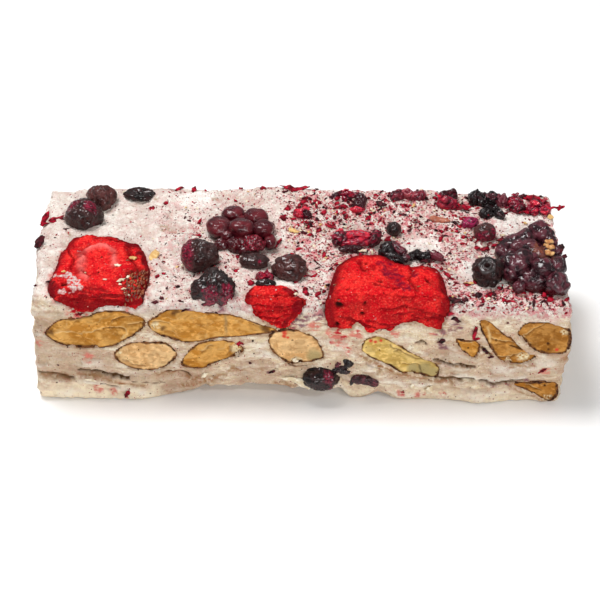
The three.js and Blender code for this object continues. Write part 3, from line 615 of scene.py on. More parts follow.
# An outline is seen from above, as (x, y) points, and front is the outline of the cut, as (x, z) points.
# Round marks are (x, y, radius) on top and (x, z, radius) in front; folds and bands are paths and half
# widths. A bed of seeds is (x, y, half width, half length, count).
strawberries = [
    dict(
        front=[(-52.4, 29), (-51.2, 26), (-49.2, 24.5), (-47.6, 23.5), (-44.6, 23.6), (-43.2, 24.7),
               (-40.2, 25.4), (-37, 25), (-34.8, 24.8), (-33.6, 29)],
        above=1.9, below=3.6, hollow=0.7, rim=(2.4, 0.2),
        outline=[(-54.4, -17), (-53.8, -12.9), (-53.4, -9.1), (-53.0, -5), (-51.4, -1.0), (-48, 2.1),
                 (-45.2, 1.8), (-41.6, 0.7), (-37.4, -0.8), (-34.8, -4), (-33.3, -8.6), (-32.7, -12.6),
                 (-33.2, -18), (-34.2, -23.5), (-38, -26), (-43.2, -26.4), (-48.4, -25), (-52, -22)],
        ring=[(-46.4, -15.6), (-47.6, -11.6), (-48, -7.4), (-47, -5.3), (-45.2, -4.4), (-43, -4),
              (-41.4, -5.2), (-40.8, -8.2), (-39.8, -10.6)],
        folds=[([(-49.2, -19.8), (-45.6, -20.2), (-43, -20.9)], 0.4),
               ([(-51.4, -4), (-49.6, -8), (-50, -12)], 0.3), ([(-44, 0), (-40, -1.6), (-37, -1.2)], 0.35),
               ([(-38.4, -4.4), (-37, -8.8), (-35.2, -11.6)], 0.4)],
        front_folds=[([(-49, 26.4), (-44, 26.8), (-36, 26.4)], 0.35)], pits=[(-50.4, -17.8, 0.7)],
        smears=[(-50.4, -14.6, 1.5), (-48.9, -16.6, 1.6), (-48.2, -18.8, 1.3), (-50.4, -20.4, 1.1),
                (-53, -14.2, 0.7)],
        darks=[(-37.6, -3.4, 1.8), (-35, -7.6, 2.0), (-53, -17, 1.2)], purple=0.0,
        bands=[([(-52.6, -18.4), (-50, -20.2), (-46, -20.6)], 0.9),
               ([(-46.4, -18.9), (-43, -19.6), (-40.4, -20.4)], 0.5)],
        front_bands=[([(-50.8, 26.8), (-47, 25.2), (-42.4, 25.4)], 1.5),
                     ([(-46.6, 27.8), (-41, 28.3), (-36, 27.9)], 0.8),
                     ([(-43, 26), (-37.6, 25.9), (-34.4, 26.8)], 1.0)],
        seeds=[(-35.0, -17.0, 2.3, 5.2, 84)],
    ),
    dict(
        front=[(-11.6, 29), (-10.7, 24.8), (-9.8, 22.9), (-8.2, 21.8), (-6.2, 20.6), (-4, 19.6),
               (-2.6, 20.2), (-1, 22.4), (0.6, 24.6), (1, 29)],
        above=1.3, below=7.6, hollow=0, rim=(1.2, 0.1),
        outline=[(-11.8, -21.5), (-11.4, -18.4), (-10, -16.5), (-7.6, -16.9), (-5.4, -16.2), (-3.4, -16),
                 (-1.4, -17.8), (0.6, -20.6), (1.4, -24), (-1, -27), (-5, -28), (-9, -27), (-11.4, -24.6)],
        folds=[([(-10, -20.4), (-6, -20.9), (-1, -20.2)], 0.3)],
        front_folds=[([(-10.4, 24.6), (-6, 24.1), (-1, 25)], 0.3),
                     ([(-9.4, 23), (-5, 22.6), (-1.4, 23.4)], 0.3), ([(-7.6, 21.6), (-4, 21.4)], 0.3),
                     ([(-10.6, 26.2), (-5, 25.6), (0, 26.4)], 0.25)],
        smears=[(-5.2, -19.4, 0.35)], darks=[(-2.0, -18.2, 2.0), (0, -20.4, 2.0)],
        front_darks=[(-0.2, 25.4, 1.6)], purple=0.2, bands=[([(-2.4, -17.2), (0, -19.6)], 0.8)],
        front_bands=[([(0.4, 27), (-0.8, 23.4), (-3.2, 20.8)], 0.9), ([(-10.8, 25), (-8.6, 22.4)], 0.4)],
    ),
    dict(
        front=[(5.6, 29), (5.8, 21), (7.4, 20), (11, 19.9), (11.9, 21.5), (13.4, 20.5), (15, 18.9),
               (17.4, 20), (19.4, 19.6), (21.4, 21), (23.4, 21.6), (25.8, 21.6), (27.6, 20.6), (30.2, 19.8),
               (31, 22), (31.4, 29)],
        above=2.0, below=8.6, hollow=0, rim=(3.2, 0.6),
        outline=[(5.7, -22), (5.9, -18.2), (6.6, -13.8), (7.5, -10.1), (9, -6.8), (11.2, -5.3), (14.1, -5),
                 (17, -5.2), (19.5, -7), (22.1, -8.8), (24.6, -9.3), (27.4, -8.7), (29.6, -10), (31, -13.3),
                 (31.6, -17.6), (31.7, -22), (28, -27), (19, -29), (10, -27)],
        folds=[([(24.4, -11), (23.4, -15), (25, -19)], 0.5), ([(12, -8), (14, -12)], 0.5),
               ([(16, -17.4), (20.6, -18.4)], 0.4)],
        front_folds=[([(17.6, 25.6), (22, 26.1), (26.3, 25.1), (31, 23.6)], 0.35),
                     ([(10.6, 22.9), (12.6, 22.2), (14.6, 20.8)], 0.3),
                     ([(24, 23.2), (27, 22.6), (30.4, 22.9)], 0.3)],
        pits=[(17.2, -15.8, 0.55), (10.3, -19.2, 0.45), (27.2, -15.5, 0.6), (9.2, -15.4, 0.35),
              (14.4, -9.6, 0.4)],
        front_pits=[(8.1, 26.7, 0.8), (13.1, 24.6, 0.55), (14, 27.1, 0.4), (8.4, 21.4, 0.6)],
        darks=[(18.2, -9.8, 1.9), (19.2, -12.2, 1.9), (20.2, -14.4, 1.9), (21.4, -16.6, 1.7),
               (22.6, -18.8, 1.4), (24.4, -13.6, 1.2), (22.4, -9.8, 1.1)],
        purple=0.85,
        bands=[([(6.6, -17), (7.8, -11)], 0.7), ([(30.6, -12.4), (31.2, -17.6)], 0.8),
               ([(26.2, -11), (29, -11.6)], 0.4)],
        front_bands=[([(6.2, 28), (6.5, 22.4), (8, 20.8)], 0.9), ([(30.6, 27.4), (30.2, 22.4)], 0.9),
                     ([(11, 21.4), (15, 20.2), (20, 20.6), (25, 22.2)], 0.5),
                     ([(8, 23.4), (11, 22.8), (14.4, 20.6)], 0.4),
                     ([(20, 24.4), (25, 24.2), (30, 23)], 0.35),
                     ([(14, 22.6), (19, 21.4), (24, 22.4)], 0.3)],
    ),
]


def slow_swell(x, y, z):
    """Three crossed sine waves, 10 to 40 mm long, from -1 to 1, that the whole bar is uneven by."""
    long_wave = 0.5 * np.sin(x / 5.6 + y / 6.3 + z / 4.7)
    short_wave = 0.3 * np.sin(x / 3.1 - y / 3.7 + z / 3.3 + 1.3)
    return long_wave + short_wave + 0.2 * np.sin(x / 1.9 + y / 2.3 - z / 2.1 + 4.1)


def crest(x, y):
    """How far the top rises toward the back, least at the two ends."""
    return 1.5 * smooth(y, -4, bar_width / 2) * (1 - 0.6 * smooth(np.abs(x + 2), 23, 41))


def top_at(x, y):
    """The height of the nougat's top before its fine relief."""
    return bar_height + crest(x, y) + 0.6 * slow_swell(x, y, bar_height)


def strawberry_finish():
    """Dry porous flesh: bright orange-red, crimson toward the rim, with tiny pale flecks of painted glint and
    pits and pores darkened as painted shade.
    """
    look = Finish("strawberry_dry", 0.6, 0.07)
    flesh = look.mottle((0.74, 0.004, 0.012), [
        ((0.96, 0.032, 0.026), 2.6, 5, 0.38, 0.62, 1, (1, 1, 1), 0.8),
        ((0.62, 0.002, 0.010), 5.5, 3, 0.46, 0.62, 0.6),
        ((0.46, 0.001, 0.005), 0.8, 4, 0.50, 0.68, 0.65),
    ])
    pores = look.cells(0.42)[0]
    # Painted shade: darker down the grooves between the pores, which the bump below sinks.
    flesh = look.mix(look.ramp(pores, 0.4, 0.85, 0.0, 0.55), flesh, (0.40, 0.001, 0.004))
    flesh = look.mottle(flesh, [((1.0, 0.12, 0.08), 0.45, 3, 0.54, 0.70, 0.7)])
    color = look.over("ring", flesh, (0.93, 0.17, 0.15))
    # Darker crimson at the rim, in the bands and dark places, and painted shade where the flesh sinks and in
    # its folds.
    color = look.over("rim", color, (0.17, 0.001, 0.004))
    color = look.over("bed", color, (0.10, 0.006, 0.003), look.patches(0.7, 3, 0.3, 0.6))
    color = look.over("plum", color, (0.16, 0.002, 0.020), look.patches(1.0, 4, 0.40, 0.58, 0.25, 1))
    # Painted shade: near black in the dents of the pits.
    color = look.over("pit", color, (0.020, 0.002, 0.001))
    # Painted glints: tiny pale flecks.
    color = look.flecks(color, 1.2, 0.08, 0.22, (1.0, 0.62, 0.52))
    color = look.flecks(color, 1.7, 0.12, 0.4, (0.10, 0.003, 0.003))
    smeared = look.mottle((0.74, 0.60, 0.56), [((0.58, 0.25, 0.24), 0.6, 5, 0.42, 0.58, 1)])
    color = look.over("smear", color, smeared, look.patches(0.8, 4, 0.34, 0.46))
    return look.finish(color, [(look.noise(1.0, 5), 0.45), (pores, -0.16), (look.noise(0.25), 0.10)])


strawberry_dry = strawberry_finish()


def slice_radius(slice_, angle):
    """The radius of a slice's outline in each direction from its middle."""
    curve = closed_curve(slice_["outline"], slice_steps) - slice_["middle"]
    around = np.arctan2(curve[:, 1], curve[:, 0])
    order = np.argsort(around)
    return np.interp(angle, around[order], np.hypot(*curve.T)[order], period=2 * math.pi)


def slice_gap(slice_, x, y):
    """How far a place lies outside a slice's outline along the line from its middle, negative inside."""
    x, y = x - slice_["middle"][0], y - slice_["middle"][1]
    return np.hypot(x, y) - slice_radius(slice_, np.arctan2(y, x))


for slice_ in strawberries:
    curve = closed_curve(slice_["outline"], slice_steps)
    slice_["middle"] = curve.mean(axis=0)
    slice_["low"] = curve.min(axis=0)
    slice_["high"] = curve.max(axis=0)
    slice_["edge"] = closed_curve(slice_["front"], inlay_steps)


def nearest_slice(x, y):
    """How far a place lies outside the nearest slice, negative inside one."""
    return np.minimum.reduce([slice_gap(slice_, x, y) for slice_ in strawberries])


def strawberry_slice(slice_, seed):
    """A slice as rings round its middle: a dome, the rim and a keel, from a profile of height against
    reach, pushed out by grains of flesh, and flattened on the plane of the knife."""
    profile_reach = [0, 0.35, 0.66, 0.88, 0.97, 1.0, 1.0, 0.96, 0.8, 0.4, 0.05]
    profile_height = [1, 1, 0.96, 0.78, 0.45, 0.0, -0.5, -0.85, -1, -1, -1]
    step = np.linspace(0, 10, 126)[1:]
    reach = np.interp(step, range(11), profile_reach)[:, None]
    height = np.interp(step, range(11), profile_height)[:, None]
    angle = np.linspace(-math.pi, math.pi, slice_steps, endpoint=False)
    edge = slice_radius(slice_, angle)
    middle = slice_["middle"]
    x = middle[0] + reach * edge * np.cos(angle)
    y = middle[1] + reach * edge * np.sin(angle)
    z = np.where(height > 0, height * slice_["above"], height * slice_["below"])
    z = z - np.where(height > 0, slice_["hollow"] * (1 - smooth(reach, 0.2, 0.45)), 0)
    ground = top_at(*middle)
    cut = y < knife_front
    on_top = (height > 0) & ~cut

    place = spread(x, np.maximum(y, knife_front), z + 5 * seed)
    near = grains(place, 0.8, 21)[0]
    flesh = 0.42 * lumps(place, 3.2, 22) + 0.22 * lumps(place, 1.3, 23) + 0.34 * (0.45 - near)
    far_x, far_y = wander(*wander(x, y, 2.2, 0.7, seed), 0.8, 0.3, seed + 4)
    far_u, far_z = wander(*wander(x, z + ground, 2.2, 0.7, seed), 0.8, 0.3, seed + 4)

    def rounds(kind):
        """The round marks of a kind, on the top and on the cut in front."""
        on_front = spots(far_u, far_z, slice_.get(f"front_{kind}", ())) * cut
        return spots(far_x, far_y, slice_.get(kind, ())) * on_top + on_front

    def lines(kind):
        """The lines of a kind, on the top and on the cut in front."""
        on_front = sum(crease(far_u, far_z, path, width) for path, width in slice_[f"front_{kind}"]) * cut
        return sum(crease(far_x, far_y, path, width) for path, width in slice_[kind]) * on_top + on_front

    ring = crease(far_x, far_y, slice_.get("ring", ()), 0.75) * on_top
    ring = ring * (0.25 + 0.75 * smooth(lumps(place, 2.2, 24), -1.2, -0.2))
    # Each pit is dented below and painted near black as shade.
    pit = rounds("pits")
    smear = smooth(rounds("smears") + 0.7 * lumps(place, 0.7, 25), 0.55, 0.7)
    band = smooth(lines("bands") + 0.3 * lumps(place, 1.0, 17), 0.3, 0.9)
    dark = smooth(rounds("darks") + 0.6 * lumps(place, 1.1, 29), 0.35, 0.9)
    fold = lines("folds") * smooth(lumps(place, 1.9, 18), -1.5, -0.5)
    beds = [(bed_x, bed_y, long) for bed_x, bed_y, _, long, _ in slice_.get("seeds", ())]
    bed = spots(x, y, beds) * on_top
    bed = smooth(bed, 0, 0.6) * smooth(far_x, -38.6, -37)

    crystals = smear * (0.12 + 0.2 * lumps(place, 0.7, 19))
    out = flesh + 0.6 * ring - 0.8 * pit - 0.75 * fold - 0.15 * band + crystals
    z = z + np.where(height > 0, out * smooth(height, 0.0, 0.5), 0)
    side = smooth(reach, 0.85, 1.0) * (0.7 * flesh)
    x = x + side * np.cos(angle)
    y = y + side * np.sin(angle)
    y = np.maximum(y, knife_front + np.where(cut, 0.25 - 0.6 * out, 0))
    near_knife = (y < knife_front + keel_recess) & (cut | (height < 0))
    beyond = outline_gap(x[near_knife], z[near_knife] + ground, slice_["edge"])
    recess = keel_recess * smooth(beyond, 0.0, 0.7)
    behind = np.maximum(y[near_knife], knife_front + recess)
    y[near_knife] = np.where(cut[near_knife], y[near_knife] + recess, behind)
    rings = spread(x, y, z + ground)

    inward = (1 - reach) * edge + 0.9 * lumps(place, 2.6, 27) + 0.4 * lumps(place, 0.9, 28)
    left, right = slice_["low"][0], slice_["high"][0]
    side_reach = min(2.4, 0.11 * (right - left))
    sides = spots(x, 0 * x, [(left, 0, side_reach), (right, 0, side_reach)])
    cut_rim = np.maximum(0.4 * smooth(-lumps(place, 1.8, 26), 0.0, 0.7), 0.7 * sides)
    rim = np.where(cut, cut_rim, 1 - smooth(inward, slice_["rim"][1], slice_["rim"][0]))
    # Painted shade: darker crimson where the flesh sinks.
    rim = np.maximum(rim, 0.6 * smooth(-flesh, 0.10, 0.5))
    rim = np.maximum(rim, np.maximum(0.8 * band, dark * (1 - slice_["purple"])))
    # Painted shade: darker crimson along the folds.
    rim = np.maximum(rim, 0.8 * fold)
    fields = dict(ring=ring, rim=rim, pit=pit, bed=bed, smear=smear, plum=dark * slice_["purple"])
    fields = {name: at_points(values * np.ones_like(x)) for name, values in fields.items()}
    return skin(rings), fields


slice_shapes = []
for i, slice_ in enumerate(strawberries):
    shape, fields = strawberry_slice(slice_, i + 1)
    slice_shapes.append(shape)
    name = f"strawberry_slice_{i + 1}"
    make_piece(name, [shape], strawberry_dry, "strawberry", [f"strawberry_{i + 1}"], **fields)


def ring_angles(rings_count, around):
    """The angle down from the top pole of each ring, and the angle round it of each point, for skin()."""
    polar = np.linspace(0, math.pi, rings_count + 2)[1:-1, None]
    return polar, np.linspace(0, 2 * math.pi, around, endpoint=False)


def round_ways(polar, angle):
    """The directions from the middle of a ball to its points."""
    return spread(np.sin(polar) * np.cos(angle), np.sin(polar) * np.sin(angle), np.cos(polar))


def blades(middles, alongs, acrosses, sizes, curl, ragged, seed, rings_count=7, around=14):
    """Thin closed flakes, each a flattened ball: long by wide by thick, bent up by the square of the way
    along it, twisted across, with a ragged edge. A flake lies in the plane of its along and across."""
    polar, angle = ring_angles(rings_count, around)
    a, b, c = np.moveaxis(round_ways(polar, angle), -1, 0)
    draw = np.random.default_rng(seed)
    shapes = []
    for middle, along, across, size in zip(middles, alongs, acrosses, sizes):
        along = unit(along)
        normal = unit(np.cross(along, across))
        across = np.cross(normal, along)
        shift = draw.uniform(0, 30)
        rim_place = spread(2.2 * np.cos(angle) + shift, 2.2 * np.sin(angle), shift)
        edge = 1 + ragged * min(1, 2.4 / size[0]) * lumps(rim_place, 1.0, seed + 1)
        bend, twist = curl * draw.uniform(-1, 1.4), curl * draw.uniform(-1, 1)
        lift = c * size[2] / 2 + size[0] * (0.5 * bend * (a**2 - 0.3) + twist * a * b)
        lift = lift + 0.12 * size[1] * np.sin(5 * a + shift)
        rings = middle + (a * edge * size[0] / 2)[..., None] * along
        rings = rings + (b * edge * size[1] / 2)[..., None] * across + lift[..., None] * normal
        ends = [middle + normal * (lift[k].mean()) for k in (0, -1)]
        shapes.append(skin(rings, ends[0], ends[1]))
    return shapes


# Seeds of the strawberries stand in the flesh where it dried away from them.
def seed_finish():
    """Hard pale-gold seed coats, browner at random."""
    look = Finish("strawberry_seed", 0.35, 0.5)
    color = look.mottle((0.10, 0.006, 0.003), [((0.36, 0.095, 0.028), 1.2, 3, 0.35, 0.65, 1)])
    return look.finish(color, [(look.noise(0.3), 0.04)])


draw = np.random.default_rng(30)
seed_places, seed_ways = [], []
# A loose seed is the number of its slice from 0, and its x and y.
loose_seeds = [(0, 25.1, -18), (2, 6.9, -16.6), (2, 25.1, -18), (2, 8.3, -22.6), (0, -37.5, -9.1)]
for slice_, shape in zip(strawberries, slice_shapes):
    flesh_at = shape[0]
    for bed_x, bed_y, wide, long, count in slice_.get("seeds", ()):
        way = draw.uniform(-0.5, 0.5, count)
        row, column = np.divmod(np.arange(count), seeds_in_row)
        px = bed_x + wide * ((column + 0.5 * (row % 2)) / 3.25 - 1) + draw.uniform(-0.3, 0.3, count)
        py = bed_y + long * (row / 6.5 - 1) + draw.uniform(-0.35, 0.35, count) + 0.5 * (px - bed_x)
        over = np.maximum(knife_front - py, 0)
        wanted = spread(px, np.maximum(py, knife_front),
                        top_at(*slice_["middle"]) + slice_["above"] - 1.2 * over)
        near = np.argmin(np.linalg.norm(flesh_at[None] - wanted[:, None], axis=-1), axis=-1)
        proud = spread(0, -0.1 * (over > 0), 0.1 * (over == 0))
        seed_places += [tuple(place) for place in flesh_at[near] + proud]
        seed_ways += [(0.35 + w, 1, 0.1) if at == 0 else (0.35 + w, 0, 1) for w, at in zip(way, over)]
for i, px, py in loose_seeds:
    over = max(knife_front - py, 0)
    height = top_at(*strawberries[i]["middle"]) + strawberries[i]["above"] - 1.2 * over
    wanted = np.array([px, max(py, knife_front), height])
    flesh_at = slice_shapes[i][0]
    near = np.argmin(np.linalg.norm(flesh_at - wanted, axis=-1))
    seed_places.append(tuple(flesh_at[near] + (0, 0, 0.1)))
    seed_ways.append((1, 0.4, 0))
seed_sizes = [(1.0, 0.40, 0.38)] * len(seed_places)
seed_acrosses = [(1, -0.3, 0)] * len(seed_places)
seed_shapes = blades(seed_places, seed_ways, seed_acrosses, seed_sizes, 0.05, 0.1, 31, 4, 8)
make_piece("strawberry_seeds", seed_shapes, seed_finish(), "strawberry")

# ---- brambles ----
# Whole dried brambles: plump drupelets round a core, glossy and wine dark. The second has shrunk, its
# skins creased, and one is torn open on tan seeds.

# A core is (x, y, z, radii), and a drupelet (x, y, height above the slab, radii); crimson and crumbly
# are the numbers of such drupelets, from 0.
drupelet_balls = [
    dict(
        core=[(-13.0, 1.6, 27.2, 5.4, 5.6, 2.2)],
        drupelets=[(-15.4, 8.4, 2.4, 2.6, 2.3, 1.9), (-10.2, 6.6, 2.7, 2.7, 2.5, 2.1),
                   (-18.4, 3.6, 2.3, 2.9, 3.2, 2.1), (-13.3, 1.8, 3.2, 3.1, 2.2, 2.0),
                   (-8.5, 2.0, 2.9, 2.4, 2.4, 2.0), (-10.3, -2.6, 1.9, 2.5, 2.1, 2.0),
                   (-14.7, -2.4, 1.3, 1.9, 1.6, 1.5), (-17.6, -1.9, 1.1, 1.7, 1.4, 1.3),
                   (-6.9, -0.6, 1.3, 1.5, 2.2, 1.6), (-13.1, 5.6, 2.0, 2.2, 1.6, 1.6),
                   (-7.4, 5.0, 1.2, 1.5, 1.8, 1.5), (-12.6, -3.6, 0.9, 1.3, 1.0, 1.0),
                   (-16.4, 1.0, 1.6, 1.6, 1.5, 1.6), (-11.4, -0.6, 1.6, 1.6, 1.5, 1.6)],
        crimson=(5,), crumbly=(5, 6, 7, 10, 11), wrinkle=0.05, uneven=0.07, dent=0.15, swell=1.05,
    ),
    dict(
        core=[(54.3, -4.6, 29.9, 1.7, 2.6, 1.15), (50.4, -3.6, 27.6, 4.8, 5.8, 2.6),
              (50.8, -11.4, 27.4, 5.4, 5.0, 2.6)],
        drupelets=[(53.2, 0.9, 3.2, 3.1, 2.5, 2.5), (49.6, -0.8, 2.8, 2.4, 2.2, 2.2),
                   (47.4, 0.2, 1.8, 2.0, 1.8, 1.8), (44.8, -3.8, 1.7, 1.9, 1.8, 1.6),
                   (46.8, -2.6, 2.6, 2.3, 2.0, 1.9), (48.9, -4.6, 3.4, 2.8, 2.3, 1.9),
                   (47.3, -10.2, 3.1, 3.2, 3.0, 2.5), (52.0, -11.6, 3.0, 2.8, 2.4, 2.3),
                   (55.1, -16.0, 1.9, 2.8, 2.6, 2.5), (47.1, -16.0, 0.9, 1.5, 1.3, 1.4),
                   (50.6, -14.6, 1.5, 2.3, 1.8, 1.7), (56.0, -4.4, 2.0, 1.4, 1.8, 1.5),
                   (51.9, -7.0, 2.7, 2.2, 1.8, 1.8), (55.6, -10.4, 2.5, 1.9, 2.2, 1.7),
                   (53.0, -14.6, 1.0, 1.8, 1.6, 1.5), (49.9, -9.0, 2.6, 2.0, 2.2, 2.0),
                   (54.8, -1.4, 2.5, 2.0, 1.8, 1.9), (56.5, -7.4, 1.8, 1.4, 1.7, 1.4),
                   (45.6, -6.8, 2.0, 2.2, 1.9, 1.9), (53.4, -13.4, 1.2, 2.2, 1.8, 1.6),
                   (49.6, -12.8, 2.0, 1.7, 1.6, 1.6), (45.8, -11.8, 1.6, 1.8, 1.8, 1.6)],
        crimson=(), crumbly=(10, 14, 19), wrinkle=0.14, uneven=0.30, dent=0.0, swell=1.12,
    ),
]


def bramble_finish(name, dark, wine, crimson):
    """Taut glossy skin mottled dark and wine, painted near black as shade on its low parts in the gaps."""
    look = Finish(name, 0.25, 0.25, coat=(0.45, 0.08))
    color = look.mottle(dark, [(wine, 2.0, 4, 0.38, 0.64, 1)])
    split = look.mottle((0.06, 0.001, 0.004), [(crimson, 0.5, 4, 0.42, 0.60, 1)])
    color = look.over("crimson", color, split)
    color = look.over("torn", color, (0.20, 0.05, 0.025), look.patches(0.9, 4, 0.35, 0.6))
    # Painted shade: near black on the low parts, in the gaps near the nougat.
    color = look.over("low", color, (0.045, 0.001, 0.004))
    rough = look.patches(1.1, 4, 0.40, 0.66, 0.10, 0.42)
    return look.finish(color, [(look.noise(1.0, 4), 0.22), (look.noise(0.45), 0.07)], rough)


bramble_glossy = [
    bramble_finish("bramble_wine", (0.050, 0.003, 0.007), (0.125, 0.009, 0.015), (0.24, 0.007, 0.024)),
    bramble_finish("bramble_aubergine", (0.018, 0.004, 0.007), (0.115, 0.024, 0.036), (0.20, 0.01, 0.03)),
]


def ball(middle, radii, rings_count=22, around=36):
    """The rings of an ellipsoid between its poles, and their directions from the middle."""
    ways = round_ways(*ring_angles(rings_count, around))
    return ways, np.array(middle) + ways * radii


def drupelet(middle, radii, wrinkle, uneven, dent, seed):
    """One drupelet: an ellipsoid swollen unevenly and sunk in on top, creased where random heights change
    sign."""
    ways, rings = ball(middle, radii, 26, 40)
    creases = np.abs(lumps(rings + seed, 1.6, 31))
    swollen = 1 + uneven * lumps(rings + seed, 2.2, 32) - wrinkle * (1 - smooth(creases, 0.0, 0.3))
    swollen = swollen - 0.3 * wrinkle * (1 - smooth(np.abs(lumps(rings + seed, 0.8, 33)), 0, 0.3))
    sunken_way = np.array([0.3 * math.sin(seed), -0.25 + 0.3 * math.cos(2 * seed), 1])
    swollen = swollen - dent * smooth(ways @ sunken_way / np.linalg.norm(sunken_way), 0.72, 0.96)
    rings = middle + ways * radii * swollen[..., None]
    return skin(rings)


def crumpled(middle, radii, crumple, seed):
    """A ball of folded skin: an ellipsoid in random cells, each pushed out or in, with grooves between."""
    ways, rings = ball(middle, radii, 28, 44)
    _, gap, mark = grains(rings + 11 * seed, 1.5, 51)
    out = 1.6 * (mark - 0.5) - 0.9 * (1 - smooth(gap, 0, 0.4)) + 0.7 * lumps(rings + seed, 1.0, 52)
    swollen = 1 + crumple * out
    rings = middle + ways * radii * swollen[..., None]
    return skin(rings)


for i, berry in enumerate(drupelet_balls):
    shapes, crimson = [], []
    for j, (x, y, above, *radii) in enumerate(berry["drupelets"]):
        middle, radii = np.array([x, y, bar_height + above]), np.array(radii) * berry["swell"]
        if j in berry["crumbly"]:
            shapes.append(crumpled(middle, radii, 0.18, j))
        else:
            seed = 17 * i + 3.1 * j
            shapes.append(drupelet(middle, radii, berry["wrinkle"], berry["uneven"], berry["dent"], seed))
        crimson.append(np.full(len(shapes[-1][0]), float(j in berry["crimson"])))
    for x, y, z, *radii in berry["core"]:
        rings = ball((x, y, z), radii)[1]
        shapes.append(skin(rings))
        crimson.append(np.zeros(len(shapes[-1][0])))
    points = np.vstack([points for points, _, _ in shapes])
    torn = np.linalg.norm((points - (52.6, -6.4, 31)) * (1, 1, 0.5), axis=-1)
    torn = (1 - smooth(torn + 0.8 * lumps(points, 1.0, 34), 1.6, 2.6)) * i
    # Painted shade: darker toward the bottom of the berry.
    low = 1 - smooth(points[:, 2] + 0.5 * lumps(points, 1.0, 35), 27.4, 29.6)
    fields = dict(low=np.clip(low, 0, 1), crimson=np.concatenate(crimson), torn=np.clip(torn, 0, 1))
    name = f"bramble_berry_{i + 1}"
    make_piece(name, shapes, bramble_glossy[i], "bramble", [f"bramble_{i + 1}"], **fields)


def pith_finish():
    """Dry tan seeds and fibres inside a torn drupelet."""
    look = Finish("bramble_seed", 0.5, 0.4)
    color = look.mottle((0.50, 0.20, 0.06), [((0.80, 0.48, 0.20), 0.8, 3, 0.35, 0.65, 1)])
    return look.finish(color, [(look.noise(0.4), 0.08)])


teeth = [(54.6, -3.3, 31.15), (54.7, -5.4, 31.2), (54.3, -7.8, 31.2), (53.8, -4.3, 30.9), (53.9, -6.9, 31.1)]
tooth_sizes = [(2.2, 1.15, 1.0)] * 3 + [(1.4, 0.8, 0.8)] * 2
tooth_shapes = blades(teeth, [(1, 0.1, -0.1)] * 5, [(0, 1, 0.2)] * 5, tooth_sizes, 0.05, 0.12, 36, 8, 14)
make_piece("bramble_teeth", tooth_shapes, pith_finish(), "bramble")

# ---- blueberries ----
# Small whole berries, dried until the skin wrinkled: near black, with a crimson flush where the skin
# split, and a raised ring where the flower was.

# Each fills the box of its solid, let out by grow at its low and high corner. Crown is the way its ring
# faces, lobes are (count, depth, degrees) of its outline from above, flushes are (x, y, radius), gloss is
# how shiny its skin is, and bloom how dusty.
blueberries = [
    dict(
        crown=(0.3, -0.9, 0.1), wrinkle=0.10, gloss=0.3, lobes=[(5, 0.03, 60)],
        flushes=[(-51.6, 9.2, 1.7), (-47.4, 7.6, 1.6)], bloom=0.3, grow=((-0.4, -0.3, 0), (0.3, 0, 0.3)),
    ),
    dict(crown=(0, 0.9, 0.2), wrinkle=0.10, gloss=0.2, lobes=[(3, 0.05, 40)], bloom=0.8),
    dict(crown=(0, 0.9, 0.3), wrinkle=0.13, gloss=0.3, lobes=[(5, 0.05, 20)], sunk=0.55),
    dict(
        crown=(0.5, -0.4, 0.7), wrinkle=0.09, gloss=0.8, lobes=[(3, 0.04, 100)],
        flushes=[(-26, -7, 2.4), (-25, -10, 2.0), (-23.8, -5, 1.0)], bloom=0.25,
        grow=((-0.5, -0.3, 0), (0.3, 0.3, 0.3)),
    ),
    dict(
        crown=(0.4, 0.3, 0.8), wrinkle=0.14, gloss=0.3, lobes=[(3, 0.08, 88)],
        flushes=[(-19.4, -22.8, 2.4), (-15.4, -20.8, 1.5)], grow=((-0.4, -1.7, -0.6), (0.4, -0.3, 0.3)),
    ),
    dict(
        crown=(0.2, 0, 1), wrinkle=0.10, gloss=0.3, lobes=[(2, 0.05, 0)], flushes=[(-9.0, -9.2, 0.4)],
        bloom=0.3,
    ),
    dict(
        crown=(-0.5, 0.4, 0.7), wrinkle=0.13, gloss=0.6, lobes=[(1, 0.06, 180), (3, 0.08, 180)],
        flushes=[(-3.4, -9.4, 0.5)], bloom=0.6, grow=((-0.6, -0.3, 0), (0.3, 0.4, 0.3)),
    ),
    dict(crown=(0.1, -0.2, 1), wrinkle=0.07, gloss=0.5),
    dict(
        crown=(0.3, 0.2, 0.9), wrinkle=0.09, gloss=1.0,
        flushes=[(41, 0.2, 1.6), (43.4, 1.6, 1.2), (39.2, 1.0, 1.2)], bloom=0.6,
    ),
    dict(
        crown=(-0.12, -0.42, 0.85), wrinkle=0.09, gloss=0.8, lobes=[(4, 0.03, 30)],
        flushes=[(42.2, -9.4, 0.5)], rings=1.0,
    ),
    dict(crown=(0.3, 0.9, 0.2), wrinkle=0.12, gloss=0.6, lobes=[(2, 0.05, 0)], flushes=[(6.4, -22.5, 1.2)]),
]


def blueberry_finish():
    """Leathery near-black skin with a dull gleam, crimson and grainy where it split."""
    look = Finish("blueberry_skin", 0.35, 0.12, coat=(0.55, 0.05))
    night = look.mottle((0.006, 0.003, 0.003), [((0.032, 0.009, 0.009), 1.3, 5, 0.40, 0.62, 1)])
    night = look.flecks(night, 0.5, 0.16, 0.35, (0.10, 0.045, 0.04))
    night = look.over("bloom", night, (0.125, 0.033, 0.030), look.patches(1.2, 4, 0.36, 0.6, 0.3, 1))
    # Painted highlight: the raised crown ring is painted grey.
    color = look.over("crown", night, (0.065, 0.055, 0.055))
    red = look.mottle((0.065, 0.002, 0.010), [((0.26, 0.007, 0.034), 0.45, 5, 0.44, 0.58, 1)])
    color = look.over("flush", color, red)
    dull = look.patches(0.8, 5, 0.44, 0.56, 0.25, 0.7)
    rough = look.math("SUBTRACT", dull, look.ramp(look.field("gloss"), 0, 1, 0, 0.1))
    return look.finish(color, [(look.noise(1.0, 5), 0.55), (look.noise(0.35, 3), 0.26)], rough)


blueberry_skin = blueberry_finish()


